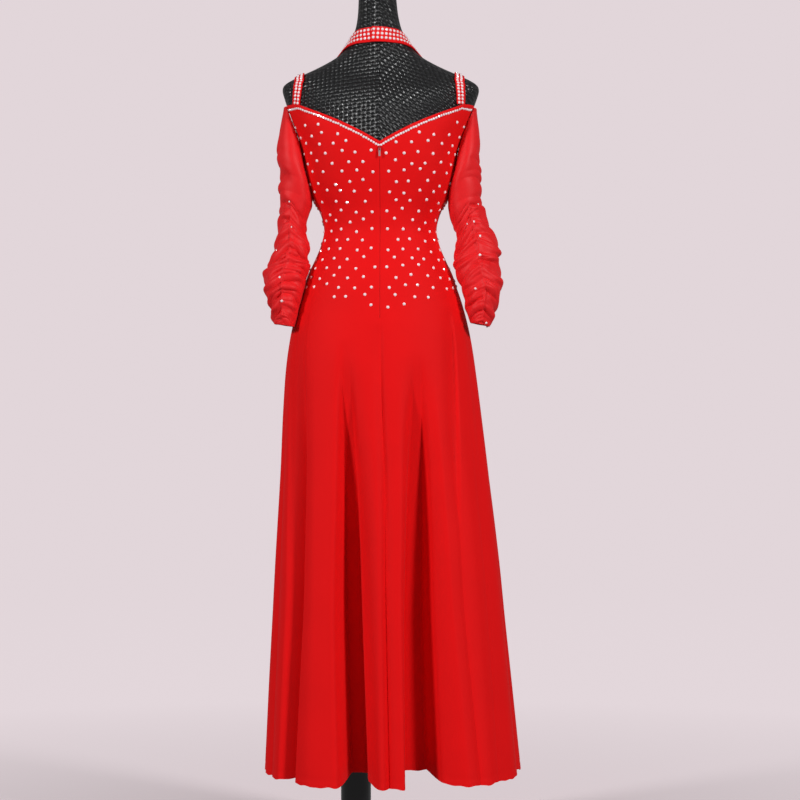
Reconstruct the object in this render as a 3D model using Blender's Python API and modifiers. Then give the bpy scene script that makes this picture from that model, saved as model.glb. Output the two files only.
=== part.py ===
"""Ballroom dance dress standing on a limbless dress form.

Metres, +Z up. The back of the dress faces -Y, its front faces +Y, and +X is the wearer's right.
The origin is on the floor under the centre-back line. Angles go round the body from the
centre back: 0 is the centre back, 90 is the right side, 180 the centre front.
"""
import bpy
import bmesh
import math
from collections import namedtuple

import numpy as np

# Driving dimensions
CLOTH = 0.0016            # wall of the stretch crepe
MESH_CLOTH = 0.0015       # wall of the gathered sleeve mesh
SEAM = 0.0003             # gap between sewn pieces
BODY_GAP = 0.0032         # between the form and the bodice
STRAP_GAP = 0.0014        # between the form and the straps and neckband
HEM_HEIGHT = 0.147
UNDERARM_HEIGHT = 1.2795
BASQUE_BACK = 1.013       # bodice-to-skirt seam at the centre back
BASQUE_FRONT = 1.020
BASQUE_SIDE = 1.067
NECK_V_BACK = 1.3406      # lowest point of the back neckline
NECK_V_FRONT = 1.335
NECK_SIDE = 1.4150        # neckline between strap and armhole
CORNER_X = 0.1765         # where the neckline ends at the armhole
CORNER_ANGLE = 72.0
STRAP_X = 0.152           # straps meet the neckline's corner this far from the centre
STRAP_TOP = {"strap_left": 0.154, "strap_right": 0.150}    # and cross the shoulders here
STRAP_FOOT = {"strap_left": 0.159, "strap_right": 0.152}   # and stand on the neckline here
STRAP_WIDTH = 0.0195
BINDING_WIDTH = 0.0050
BINDING_CLOTH = 0.0010
BAND_WIDTH = 0.029
BAND_LAP_RIGHT = 14.0     # how far past the centre back each arm of the neckband goes, degrees
BAND_LAP_LEFT = 10.0
BAND_LAP_LIFT = 0.0020    # the right arm lies on the left one
BAND_END_LIFT = 0.0036    # both arms lie on the front neckline's binding
POLE_X = -0.0456
POLE_RADIUS = 0.0285
BASE_RADIUS = 0.170
BASE_THICKNESS = 0.022
BASE_EDGE = 0.006
FORM_BOTTOM = 0.900
HIPS_TO = 1.000           # the form has its own sections up to here
WAIST_FROM = 1.060        # and follows the bodice from here
BARE_FROM = 1.395         # towards the neckline the gap narrows to the straps' own

# Cross-sections of the dressed body, hem to neck: a superellipse of power "square", with
# its centre moved by "shift" to the right. Above the neckline they are the form's own.
Section = namedtuple("Section", "height shift half_width back front square")
BODY = [
    Section(0.100, 0.0270, 0.2480, 0.171, 0.171, 2.2),
    Section(0.147, 0.0256, 0.2455, 0.167, 0.168, 2.2),
    Section(0.2155, 0.0237, 0.2405, 0.163, 0.163, 2.2),
    Section(0.3295, 0.0205, 0.2320, 0.157, 0.156, 2.2),
    Section(0.4435, 0.0175, 0.2230, 0.151, 0.149, 2.2),
    Section(0.5575, 0.0148, 0.2145, 0.146, 0.142, 2.2),
    Section(0.7285, 0.0092, 0.1990, 0.139, 0.130, 2.2),
    Section(0.8425, 0.0040, 0.1885, 0.134, 0.121, 2.2),
    Section(0.9280, 0.0012, 0.1790, 0.129, 0.113, 2.2),
    Section(0.9850, 0.0008, 0.1700, 0.124, 0.107, 2.2),
    Section(1.0420, 0.0006, 0.1560, 0.116, 0.099, 2.2),
    Section(1.0690, 0.0006, 0.1470, 0.111, 0.095, 2.2),
    Section(1.0990, 0.0006, 0.1370, 0.103, 0.092, 2.2),
    Section(1.1275, 0.0006, 0.1235, 0.094, 0.088, 2.2),
    Section(1.1560, 0.0006, 0.1120, 0.085, 0.084, 2.2),
    Section(1.1830, 0.0008, 0.1065, 0.080, 0.082, 2.2),
    Section(1.2130, 0.0008, 0.1130, 0.082, 0.086, 2.3),
    Section(1.2470, 0.0006, 0.1310, 0.089, 0.103, 2.4),
    Section(1.2795, 0.0004, 0.1420, 0.096, 0.116, 2.5),
    Section(1.3230, 0.0000, 0.1475, 0.103, 0.118, 2.6),
    Section(1.3520, 0.0000, 0.1555, 0.105, 0.112, 2.6),
    Section(1.3760, 0.0000, 0.1650, 0.104, 0.103, 2.6),
    Section(1.4160, 0.0010, 0.1800, 0.097, 0.088, 2.5),
    Section(1.4350, 0.0015, 0.1865, 0.091, 0.080, 2.4),
    Section(1.4480, 0.0015, 0.1900, 0.085, 0.073, 2.3),
    Section(1.4590, 0.0015, 0.1880, 0.078, 0.066, 2.2),
    Section(1.4700, 0.0015, 0.1710, 0.072, 0.060, 2.2),
    Section(1.4820, 0.0010, 0.1450, 0.067, 0.056, 2.1),
    Section(1.4960, 0.0000, 0.1140, 0.063, 0.053, 2.1),
    Section(1.5190, -0.001, 0.0760, 0.058, 0.050, 2.0),
    Section(1.5450, -0.002, 0.0560, 0.054, 0.048, 2.0),
    Section(1.5720, -0.003, 0.0450, 0.051, 0.046, 2.0),
    Section(1.6000, -0.004, 0.0405, 0.048, 0.044, 2.0),
    Section(1.6650, -0.006, 0.0365, 0.046, 0.042, 2.0),
]
# The form under the skirt, where the cloth stands away from it.
FORM_HIPS = [
    Section(0.900, 0.0006, 0.122, 0.092, 0.078, 2.2),
    Section(0.920, 0.0006, 0.134, 0.101, 0.085, 2.2),
    Section(0.960, 0.0006, 0.145, 0.109, 0.090, 2.2),
    Section(1.010, 0.0006, 0.148, 0.112, 0.092, 2.2),
    Section(1.050, 0.0006, 0.147, 0.110, 0.092, 2.2),
]

# Ridges and valleys of the skirt's folds, in order round it: angle at the basque seam, at
# knee height and at the hem, how far it lies inside the section at the hem (millimetres),
# the height where it starts, and the name of the seam that runs down it, if any.
Fold = namedtuple("Fold", "top knee hem depth start seam")
KNEE_HEIGHT = 0.85
FOLDS = [
    Fold(-86, -77, -76, 0, 1.00, None),
    Fold(-76, -66, -64.5, 17, 0.98, None),
    Fold(-69, -58, -58, 2, 1.00, None),
    Fold(-63, -51, -52.5, 20, 0.98, None),
    Fold(-59, -47, -49, 9, 0.98, None),
    Fold(-55.5, -43, -45, 16, 0.98, "back_left"),
    Fold(-45, -36, -38, 0, 1.00, None),
    Fold(-32, -29, -29, 1, 1.00, None),
    Fold(-20, -20.5, -20, 62, 0.92, None),
    Fold(-9, -10, -11, 0, 1.00, None),
    Fold(0, -0.5, -4, 13, 1.00, "centre_back"),
    Fold(9, 9, 5.5, 1, 1.00, None),
    Fold(22, 21, 15, 60, 0.93, None),
    Fold(42, 33, 23.5, 3, 0.98, None),
    Fold(62, 46, 30, 8, 0.98, "back_right"),
    Fold(71, 56, 43, 0, 1.00, None),
    Fold(80, 64, 53.5, 22, 0.96, None),
    Fold(87, 77, 69, 0, 1.00, None),
    Fold(97, 90, 84, 26, 0.94, None),
    Fold(108, 104, 99, 0, 1.00, None),
    Fold(118, 116, 111, 46, 0.93, None),
    Fold(129, 128, 124, 0, 1.00, None),
    Fold(138, 137, 135, 14, 0.98, "front_right"),
    Fold(147, 146, 145, 1, 1.00, None),
    Fold(160, 160, 158, 52, 0.92, None),
    Fold(172, 174, 173, 0, 1.00, None),
    Fold(184, 186, 187, 22, 0.95, None),
    Fold(196, 198, 200, 0, 1.00, None),
    Fold(209, 211, 213, 54, 0.92, None),
    Fold(220, 222, 225, 1, 1.00, None),
    Fold(230, 231, 235, 13, 0.98, "front_left"),
    Fold(239, 241, 245, 0, 1.00, None),
    Fold(249, 252, 256, 42, 0.94, None),
    Fold(259, 264, 267, 0, 1.00, None),
    Fold(266, 274, 276, 24, 0.95, None),
]

# Left and right sleeve, armhole to cuff: the inner and outer point of each ring in the XZ
# plane, measured out from the centre line, half its depth and how far back it hangs.
Ring = namedtuple("Ring", "inner inner_z outer outer_z half_depth back")
NumberedRing = namedtuple("NumberedRing", ("number",) + Ring._fields)
SLEEVE_LEFT = [
    Ring(0.1425, 1.2795, 0.1820, 1.4154, 0.041, 0.000),
    Ring(0.1430, 1.2720, 0.1890, 1.3860, 0.043, 0.002),
    Ring(0.1410, 1.2605, 0.1919, 1.3555, 0.042, 0.004),
    Ring(0.1360, 1.2450, 0.1957, 1.3230, 0.040, 0.007),
    Ring(0.1310, 1.2300, 0.1880, 1.2910, 0.038, 0.010),
    Ring(0.1370, 1.2130, 0.1920, 1.2640, 0.036, 0.013),
    Ring(0.1406, 1.1960, 0.1870, 1.2360, 0.035, 0.017),
    Ring(0.1416, 1.1730, 0.1890, 1.2000, 0.034, 0.022),
    Ring(0.1330, 1.1500, 0.1940, 1.1600, 0.034, 0.028),
    Ring(0.1380, 1.1275, 0.2040, 1.1256, 0.035, 0.034),
    Ring(0.1330, 1.1130, 0.2165, 1.0970, 0.036, 0.038),
    Ring(0.1390, 1.0900, 0.2155, 1.0740, 0.035, 0.042),
    Ring(0.1460, 1.0600, 0.2105, 1.0500, 0.033, 0.045),
    Ring(0.1550, 1.0270, 0.2030, 1.0230, 0.028, 0.047),
    Ring(0.1615, 0.9990, 0.1986, 1.0050, 0.024, 0.048),
]
SLEEVE_RIGHT = [
    Ring(0.1425, 1.2795, 0.1835, 1.4130, 0.041, 0.000),
    Ring(0.1430, 1.2720, 0.1880, 1.3860, 0.043, 0.002),
    Ring(0.1410, 1.2610, 0.1890, 1.3555, 0.042, 0.004),
    Ring(0.1375, 1.2470, 0.1880, 1.3210, 0.040, 0.007),
    Ring(0.1340, 1.2300, 0.1920, 1.2930, 0.038, 0.010),
    Ring(0.1340, 1.2100, 0.1920, 1.2660, 0.036, 0.013),
    Ring(0.1406, 1.1900, 0.1900, 1.2400, 0.035, 0.017),
    Ring(0.1480, 1.1690, 0.1960, 1.2150, 0.034, 0.022),
    Ring(0.1430, 1.1465, 0.2110, 1.1800, 0.034, 0.028),
    Ring(0.1410, 1.1220, 0.2240, 1.1440, 0.035, 0.034),
    Ring(0.1463, 1.0970, 0.2210, 1.1170, 0.036, 0.038),
    Ring(0.1560, 1.0730, 0.2290, 1.0820, 0.035, 0.042),
    Ring(0.1615, 1.0480, 0.2210, 1.0500, 0.033, 0.045),
    Ring(0.1655, 1.0260, 0.2140, 1.0230, 0.028, 0.047),
    Ring(0.1720, 1.0070, 0.2060, 1.0000, 0.024, 0.048),
]
RUCHES = 15               # gathers down each sleeve
RUCHE_HEIGHT = 0.0034     # how far a gather stands out
GATHER_FREE = 0.008       # a gather reaches its full height this far from the body
TOP_EDGE = math.radians(38.0)  # half of the sleeve's free top edge, as a turn round it
ARMHOLE_SEAM = 0.35       # from the bodice's armhole edge to the sleeve's, degrees
UNDERARM_LIFT = 0.0020    # the sleeve's edge lies this far above the bodice's underarm
SLEEVE_SIDES = 14
SLEEVE_RINGS = 42
ARMHOLE_CLEAR = 0.0022    # from the bodice to the sleeve where it is sewn on
HANG_CLEAR = 0.0042       # from the body to the sleeve where it hangs beside it

# Centre line of the neckband's right arm on the form: from the centre back over the side of
# the neck to the front neckline.
BandPoint = namedtuple("BandPoint", "step angle height")
NECKBAND = [
    BandPoint(0.00, 0, 1.5490),
    BandPoint(0.18, 40, 1.5470),
    BandPoint(0.36, 84, 1.5370),
    BandPoint(0.52, 118, 1.5130),
    BandPoint(0.64, 138, 1.4820),
    BandPoint(0.76, 150, 1.4430),
    BandPoint(0.88, 157, 1.4000),
    BandPoint(1.00, 160, 1.3640),
]

# Finishes: base colour, roughness, metallic
FINISHES = {
    "red_crepe": ((0.80, 0.008, 0.010), 0.62, 0.0),
    "red_mesh": ((0.85, 0.020, 0.025), 0.70, 0.0),
    "red_binding": ((0.72, 0.006, 0.008), 0.55, 0.0),
    "black_form": ((0.012, 0.012, 0.013), 0.30, 0.0),
    "black_metal": ((0.010, 0.010, 0.011), 0.18, 0.6),
    "red_zip_metal": ((0.60, 0.010, 0.012), 0.35, 0.4),
}


STEP_ANGLE = 0.2          # steps on a surface from which its directions are worked out
STEP_HEIGHT = 0.0008


def smooth(rows, column, at):
    """Monotone cubic through one column of a table, over the table's first column."""
    x = np.array([row[0] for row in rows], dtype=float)
    y = np.array([getattr(row, column) for row in rows], dtype=float)
    width = np.diff(x)
    slope = np.diff(y) / width
    tangent = np.zeros(len(x))
    before = slope[:-1]
    after = slope[1:]
    same = before * after > 0
    total = np.where(same, before + after, 1.0)
    tangent[1:-1] = np.where(same, 2.0 * before * after / total, 0.0)
    tangent[0] = slope[0]
    tangent[-1] = slope[-1]
    at = np.asarray(at, dtype=float)
    cell = np.clip(np.searchsorted(x, at) - 1, 0, len(width) - 1)
    s = np.clip((at - x[cell]) / width[cell], 0.0, 1.0)
    start = y[cell] + s * s * (3.0 - 2.0 * s) * (y[cell + 1] - y[cell])
    bend = s * (1.0 - s) ** 2 * tangent[cell] - s * s * (1.0 - s) * tangent[cell + 1]
    return start + bend * width[cell]


def section_point(rows, angle, height, inside=0.0):
    """Point of a superellipse section, moved in from it along its level normal."""
    turn = np.radians(angle)
    side = np.sin(turn)
    depth = np.cos(turn)
    half_width = smooth(rows, "half_width", height)
    reach = np.where(depth > 0, smooth(rows, "back", height), smooth(rows, "front", height))
    power = smooth(rows, "square", height)
    radius = (np.abs(side) ** power + np.abs(depth) ** power) ** (-1.0 / power)
    x = half_width * side * radius
    y = -reach * depth * radius
    normal_x = x / half_width ** 2
    normal_y = y / reach ** 2
    length = np.hypot(normal_x, normal_y)
    x = x - inside * normal_x / length + smooth(rows, "shift", height)
    y = y - inside * normal_y / length
    return np.stack([x, y, np.broadcast_to(height, x.shape)], axis=-1)


def off_surface(surface, angle, height, out):
    """Point of a surface moved out along its true normal, from two small steps on it."""
    along = surface(angle + STEP_ANGLE, height) - surface(angle - STEP_ANGLE, height)
    up = surface(angle, height + STEP_HEIGHT) - surface(angle, height - STEP_HEIGHT)
    normal = np.cross(along, up)
    normal = normal / np.linalg.norm(normal, axis=-1, keepdims=True)
    return surface(angle, height) + np.asarray(out)[..., None] * normal


def bodice_surface(angle, height):
    """Outer face of the bodice, and the form's own face moved out above the neckline."""
    return section_point(BODY, angle, height)


def fold_depth(angle, height):
    """Depth inside the section at an angle: soft waves between the rows of FOLDS."""
    angle, height = np.broadcast_arrays(np.asarray(angle, float), np.asarray(height, float))
    lines = np.stack([fold_angle(fold, height) for fold in FOLDS], axis=-1)
    depths = np.stack([fold_size(fold, height) for fold in FOLDS], axis=-1)
    lines = np.concatenate([lines, lines[..., :1] + 360.0], axis=-1)
    depths = np.concatenate([depths, depths[..., :1]], axis=-1)
    turned = lines[..., 0] + np.mod(angle - lines[..., 0], 360.0)
    cell = np.clip((turned[..., None] >= lines).sum(axis=-1) - 1, 0, len(FOLDS) - 1)[..., None]
    low = np.take_along_axis(lines, cell, -1)[..., 0]
    high = np.take_along_axis(lines, cell + 1, -1)[..., 0]
    first = np.take_along_axis(depths, cell, -1)[..., 0]
    second = np.take_along_axis(depths, cell + 1, -1)[..., 0]
    wave = 0.5 - 0.5 * np.cos(np.pi * (turned - low) / (high - low))
    return first + (second - first) * wave


def fold_angle(fold, height):
    """Angle of a fold line at a height, from its three named angles."""
    heights = [HEM_HEIGHT, KNEE_HEIGHT, BASQUE_SIDE]
    return np.interp(height, heights, [fold.hem, fold.knee, fold.top])


def fold_size(fold, height):
    """A fold starts at its height and deepens towards the hem."""
    share = np.clip((fold.start - height) / (fold.start - HEM_HEIGHT), 0.0, 1.0)
    return 0.001 * fold.depth * share ** 0.85


def skirt_surface(angle, height):
    """Outer face of the skirt: the section with its folds cut in."""
    return section_point(BODY, angle, height, inside=fold_depth(angle, height))


def basque_height(angle):
    """The bodice meets the skirt on a V, low at the centre back and centre front."""
    turn = np.radians(angle)
    low = np.where(np.cos(turn) > 0, BASQUE_BACK, BASQUE_FRONT)
    return low + (BASQUE_SIDE - low) * np.abs(np.sin(turn)) ** 1.1


def new_material(name):
    """Principled material of one named finish."""
    if name in bpy.data.materials:
        return bpy.data.materials[name]
    colour, roughness, metallic = FINISHES[name]
    material = bpy.data.materials.new(name)
    material.use_nodes = True
    shader = material.node_tree.nodes["Principled BSDF"]
    shader.inputs["Base Color"].default_value = (*colour, 1.0)
    shader.inputs["Roughness"].default_value = roughness
    shader.inputs["Metallic"].default_value = metallic
    return material


def add_mesh(name, vertices, faces, finish, smooth_shading=True):
    """Named object of the dress collection from points and faces."""
    mesh = bpy.data.meshes.new(name)
    mesh.from_pydata([tuple(v) for v in vertices], [], faces)
    mesh.materials.append(new_material(finish))
    if smooth_shading:
        mesh.shade_smooth()
        mesh.set_sharp_from_angle(angle=math.radians(50))
    thing = bpy.data.objects.new(name, mesh)
    bpy.data.collections["ballroom_dress"].objects.link(thing)
    return thing


def wall(name, outer, inner, finish, ring=False):
    """Closed wall between two grids (rows x columns) that follow one surface rule.

    Solidify would turn each panel's edge by its own normals and close the seam gaps, so
    both faces come from the surface itself. A ring joins its last column to its first. Each
    cell is cut on its shorter diagonal, the same one on both faces, so the wall keeps its
    thickness where a cell is twisted.
    """
    rows, columns = outer.shape[:2]
    count = rows * columns
    points = np.concatenate([outer.reshape(-1, 3), inner.reshape(-1, 3)])
    spans = columns if ring else columns - 1

    def at(row, column):
        return row * columns + column % columns

    faces = []
    for row in range(rows - 1):
        for column in range(spans):
            a, b = at(row, column), at(row, column + 1)
            c, d = at(row + 1, column + 1), at(row + 1, column)
            shorter = np.linalg.norm(points[c] - points[a]) <= np.linalg.norm(points[d] - points[b])
            for half in ((a, b, c), (a, c, d)) if shorter else ((a, b, d), (b, c, d)):
                faces.append(half)
                faces.append([count + corner for corner in reversed(half)])
    for column in range(spans):
        for row, turned in ((0, False), (rows - 1, True)):
            edge = [at(row, column + 1), at(row, column)]
            edge += [count + corner for corner in reversed(edge)]
            faces.append(edge[::-1] if turned else edge)
    if not ring:
        for row in range(rows - 1):
            for column, turned in ((0, False), (columns - 1, True)):
                edge = [at(row, column), at(row + 1, column)]
                edge += [count + corner for corner in reversed(edge)]
                faces.append(edge[::-1] if turned else edge)
    return add_mesh(name, points, faces, finish)


def panel_wall(name, surface, angle, height, finish, lift=0.0, thickness=CLOTH):
    """Wall of cloth on a surface, its outer face moved out by the lift."""
    outer = off_surface(surface, angle, height, np.full(angle.shape, lift))
    inner = off_surface(surface, angle, height, np.full(angle.shape, lift - thickness))
    return wall(name, outer, inner, finish)


def seam_step(height):
    """Half a seam gap as an angle at the size of the body there."""
    return np.degrees(0.5 * SEAM / smooth(BODY, "back", height))


SKIRT_LEVELS = np.array([0.0, 0.09, 0.22, 0.36, 0.50, 0.63, 0.75, 0.86, 0.94, 1.0])
COLUMNS_PER_FOLD = 3
VALLEY_LIFT = 0.10        # the hem rises in a valley by this share of its depth


def skirt_gore(name, first_seam, last_seam):
    """Flared gore between two seams, its columns running down the fold lines."""
    seams = [fold.seam for fold in FOLDS]
    first = seams.index(first_seam)
    last = seams.index(last_seam)
    if last < first:
        last += len(FOLDS)
    lines = []
    for index in range(first, last + 1):
        fold = FOLDS[index % len(FOLDS)]
        lines.append((fold, 360.0 * (index // len(FOLDS))))
    columns = np.arange((len(lines) - 1) * COLUMNS_PER_FOLD + 1)
    level, share = np.meshgrid(SKIRT_LEVELS, columns, indexing="ij")
    cell = np.minimum(share // COLUMNS_PER_FOLD, len(lines) - 2).astype(int)
    part = share / COLUMNS_PER_FOLD - cell

    def angles_at(height):
        found = np.stack([fold_angle(fold, height) + turn for fold, turn in lines], axis=-1)
        low = np.take_along_axis(found, cell[..., None], -1)[..., 0]
        high = np.take_along_axis(found, cell[..., None] + 1, -1)[..., 0]
        return low + (high - low) * part

    height = HEM_HEIGHT + level * (BASQUE_SIDE - HEM_HEIGHT)
    for _ in range(4):
        angle = angles_at(height)
        top = basque_height(angle) - SEAM
        hem = HEM_HEIGHT + VALLEY_LIFT * fold_depth(angle, HEM_HEIGHT)
        height = hem + level * (top - hem)
    angle[:, 0] += seam_step(height[:, 0]) * 1.2
    angle[:, -1] -= seam_step(height[:, -1]) * 1.2
    return panel_wall(name, skirt_surface, angle, height, "red_crepe")


# Half angle of the armhole at each height: the bodice stops there, before the side
Armhole = namedtuple("Armhole", "height half_angle")
ARMHOLE = [
    Armhole(1.2000, 0.0),
    Armhole(UNDERARM_HEIGHT, 0.0),
    Armhole(1.2950, 8.0),
    Armhole(1.3230, 14.0),
    Armhole(1.3520, 17.5),
    Armhole(1.3850, 19.0),
    Armhole(1.4300, 17.0),
]


def neck_height(share, lowest):
    """Neckline: straight from the V up to the strap, level from there to the armhole."""
    across = CORNER_X * np.sin(np.radians(CORNER_ANGLE * share)) / math.sin(math.radians(CORNER_ANGLE))
    rise = np.clip(np.abs(across) / STRAP_X, 0.0, 1.0)
    return lowest + (NECK_SIDE - lowest) * rise


def bodice_grid(centre, turn, lowest):
    """Angles and heights of half a bodice, its columns from the centre line to the side."""
    level, share = np.meshgrid(BODICE_LEVELS, BODICE_SHARES, indexing="ij")
    bottom = basque_height(centre + turn * 90.0 * share) + 0.5 * SEAM
    top = neck_height(share, lowest)
    height = bottom + level * (top - bottom)
    edge = 90.0 - smooth(ARMHOLE, "half_angle", height)
    angle = centre + turn * share * (edge - seam_step(height))
    return angle, height


BODICE_LEVELS = np.linspace(0.0, 1.0, 15)
BODICE_SHARES = np.array([0.0, 0.12, 0.24, 0.37, 0.50, 0.62, 0.74, 0.86, 1.0])


def build_bodice():
    """Two back panels that meet at the zip, and one front panel, each up to its armholes."""
    for name, turn in (("back_bodice_left", -1.0), ("back_bodice_right", 1.0)):
        angle, height = bodice_grid(0.0, turn, NECK_V_BACK)
        angle = angle + turn * seam_step(height) * (1.0 - BODICE_SHARES)
        if turn < 0:
            angle = angle[:, ::-1]
            height = height[:, ::-1]
        panel_wall(name, bodice_surface, angle, height, "red_crepe")
    right_angle, right_height = bodice_grid(180.0, -1.0, NECK_V_FRONT)
    left_angle, left_height = bodice_grid(180.0, 1.0, NECK_V_FRONT)
    angle = np.concatenate([right_angle[:, ::-1], left_angle[:, 1:]], axis=1)
    height = np.concatenate([right_height[:, ::-1], left_height[:, 1:]], axis=1)
    panel_wall("front_bodice", bodice_surface, angle, height, "red_crepe")


def build_binding(name, centre, lowest):
    """Folded strip on the outer face of the neckline edge, from armhole to armhole."""
    shares = np.linspace(-1.0, 1.0, 29)
    top = neck_height(np.abs(shares), lowest) + 0.0002
    height = np.stack([top - BINDING_WIDTH, top])
    edge = 90.0 - smooth(ARMHOLE, "half_angle", height) - 0.3
    turn = -1.0 if centre > 0 else 1.0
    angle = centre + turn * shares * edge
    if turn < 0:
        angle = angle[:, ::-1]
        height = height[:, ::-1]
    lift = SEAM + BINDING_CLOTH
    panel_wall(name, bodice_surface, angle, height, "red_binding", lift, BINDING_CLOTH)


def strip(name, angle, height, lift, width, finish, thickness=CLOTH, across=2):
    """Flat band on the form along a route: its width is laid out on the surface itself."""
    by_angle = bodice_surface(angle + STEP_ANGLE, height) - bodice_surface(angle - STEP_ANGLE, height)
    by_angle = by_angle / (2.0 * STEP_ANGLE)
    by_height = bodice_surface(angle, height + STEP_HEIGHT) - bodice_surface(angle, height - STEP_HEIGHT)
    by_height = by_height / (2.0 * STEP_HEIGHT)
    go_angle = np.gradient(angle)
    go_height = np.gradient(height)
    e = (by_angle * by_angle).sum(-1)
    f = (by_angle * by_height).sum(-1)
    g = (by_height * by_height).sum(-1)
    side_angle = -(f * go_angle + g * go_height)
    side_height = e * go_angle + f * go_height
    size = np.sqrt(e * side_angle ** 2 + 2.0 * f * side_angle * side_height + g * side_height ** 2)
    offset = np.linspace(-0.5, 0.5, across + 1)[:, None] * width
    angles = angle + offset * side_angle / size
    heights = height + offset * side_height / size
    lifts = np.broadcast_to(lift, angles.shape)
    outer = off_surface(bodice_surface, angles, heights, lifts)
    inner = off_surface(bodice_surface, angles, heights, lifts - thickness)
    return wall(name, outer, inner, finish)


def build_straps():
    """Straps stand on the neckline at the back and go over the shoulders to the front."""
    for name, side in (("strap_left", -1.0), ("strap_right", 1.0)):
        shoulder = np.linspace(1.45, 1.50, 501)
        crest = shoulder[np.argmin(np.abs(smooth(BODY, "half_width", shoulder) - STRAP_TOP[name]))]
        turn = np.linspace(0.0, math.pi, 25)
        foot = NECK_SIDE + SEAM + 0.0002
        height = foot + (crest - foot) * np.sin(turn) ** 0.8
        from_middle = STRAP_FOOT[name] + (STRAP_TOP[name] - STRAP_FOOT[name]) * np.sin(turn)
        reach = np.minimum(from_middle / smooth(BODY, "half_width", height), 0.9995)
        power = smooth(BODY, "square", height)
        depth = (1.0 - reach ** power) ** (1.0 / power)
        angle = np.degrees(np.arctan2(reach, depth * np.where(turn > 0.5 * math.pi, -1.0, 1.0)))
        strip(name, side * angle, height, 0.0, STRAP_WIDTH, "red_binding")


def build_neckband():
    """Two arms of a stiff band that overlap at the centre back, right arm on top."""
    nape = NECKBAND[1]
    for name, side, lap in (("neckband_right", 1.0, BAND_LAP_RIGHT), ("neckband_left", -1.0, BAND_LAP_LEFT)):
        steps = np.linspace(0.0, 1.0, 37)
        angle = smooth(NECKBAND, "angle", steps)
        height = smooth(NECKBAND, "height", steps)
        angle = np.where(steps < nape.step, (nape.angle + lap) * steps / nape.step - lap, angle)
        lift = BAND_END_LIFT * np.clip((steps - 0.76) / 0.12, 0.0, 1.0)
        if side > 0:
            lift = lift + BAND_LAP_LIFT * np.clip((26.0 - angle) / 14.0, 0.0, 1.0)
        strip(name, side * angle, height, lift, BAND_WIDTH, "red_binding")


def sleeve_surface(rows, side):
    """Rings of a sleeve from armhole to cuff, kept clear of the body, with soft gathers.

    A gather is a wave of the surface along its normal, later on the outer side than on the
    inner one, so that it slants round the arm. It fades out at the armhole, at the cuff and
    where the sleeve lies against the body.
    """
    numbered = [NumberedRing(float(number), *row) for number, row in enumerate(rows)]
    last = len(rows) - 1.0
    step = np.linspace(0.0, last, SLEEVE_RINGS)
    turn = np.linspace(0.0, 2.0 * math.pi, SLEEVE_SIDES, endpoint=False)
    s, phi = np.meshgrid(step, turn, indexing="ij")
    value = {column: smooth(numbered, column, s) for column in Ring._fields}
    length = s / last
    middle_x = 0.5 * (value["inner"] + value["outer"])
    middle_z = 0.5 * (value["inner_z"] + value["outer_z"])
    out = middle_x + 0.5 * (value["outer"] - value["inner"]) * np.cos(phi)
    sewn = np.clip(1.0 - length * 6.0, 0.0, 1.0) ** 2
    ring_y, ring_z = armhole_ring(phi, rows[0])
    z = middle_z + 0.5 * (value["outer_z"] - value["inner_z"]) * np.cos(phi)
    z = z + (ring_z - z) * sewn
    y = -value["back"] + value["half_depth"] * np.sin(phi)
    y = y + (ring_y - y) * sewn
    hang = np.clip(length * 8.0, 0.0, 1.0)
    keep = body_side(side, y, z) + ARMHOLE_CLEAR + (HANG_CLEAR - ARMHOLE_CLEAR) * hang
    free = np.clip((out - keep) / GATHER_FREE, 0.0, 1.0)
    out = np.maximum(out, keep)
    out = keep * sewn + out * (1.0 - sewn)
    plain = np.stack([side * out, y, z], axis=-1)
    slant = 0.9 * np.sin(0.5 * phi) ** 2
    wave = np.cos(2.0 * math.pi * (RUCHES * length ** 0.85 + slant))
    fade_top = np.clip(length * 6.0 - 0.5, 0.0, 1.0)
    fade_cuff = np.clip((1.0 - length) * 10.0 + 0.35, 0.0, 1.0)
    lift = RUCHE_HEIGHT * wave * fade_top * fade_cuff * free
    return plain + sleeve_normals(plain, side) * lift[..., None]


def armhole_ring(phi, first):
    """Depth and height of a sleeve's sewn edge at each turn round it.

    It goes up the back armhole edge, level over the outside of the arm and down the front
    edge, so that the neckline's own line runs on round the arm.
    """
    from_top = np.abs(np.mod(phi + math.pi, 2.0 * math.pi) - math.pi)
    share = np.clip((from_top - TOP_EDGE) / (math.pi - TOP_EDGE), 0.0, 1.0)
    wave = 0.5 + 0.5 * np.cos(math.pi * share ** 0.85)
    z = first.inner_z + UNDERARM_LIFT + (first.outer_z - first.inner_z - UNDERARM_LIFT) * wave
    edge = 90.0 - np.maximum(smooth(ARMHOLE, "half_angle", z) - ARMHOLE_SEAM, 0.0)
    on_body = bodice_surface(np.where(np.sin(phi) > 0.0, 180.0 - edge, edge), z)
    across = np.clip(from_top / TOP_EDGE, 0.0, 1.0) * np.clip((math.pi - from_top) / TOP_EDGE, 0.0, 1.0)
    return on_body[..., 1] * across, z


def sleeve_normals(rings, side):
    """Unit normals of a sleeve's rings, pointing out of the tube."""
    down = np.gradient(rings, axis=0)
    around = np.roll(rings, -1, axis=1) - np.roll(rings, 1, axis=1)
    normal = np.cross(around, down) * side
    return normal / np.linalg.norm(normal, axis=-1, keepdims=True)


def body_side(side, y, z):
    """How far out the dressed body reaches at a depth and height."""
    half_width = smooth(BODY, "half_width", z)
    reach = np.where(y < 0, smooth(BODY, "back", z), smooth(BODY, "front", z))
    power = smooth(BODY, "square", z)
    inside = np.clip(1.0 - np.abs(y / reach) ** power, 0.0, 1.0)
    return half_width * inside ** (1.0 / power) + side * smooth(BODY, "shift", z)


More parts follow.
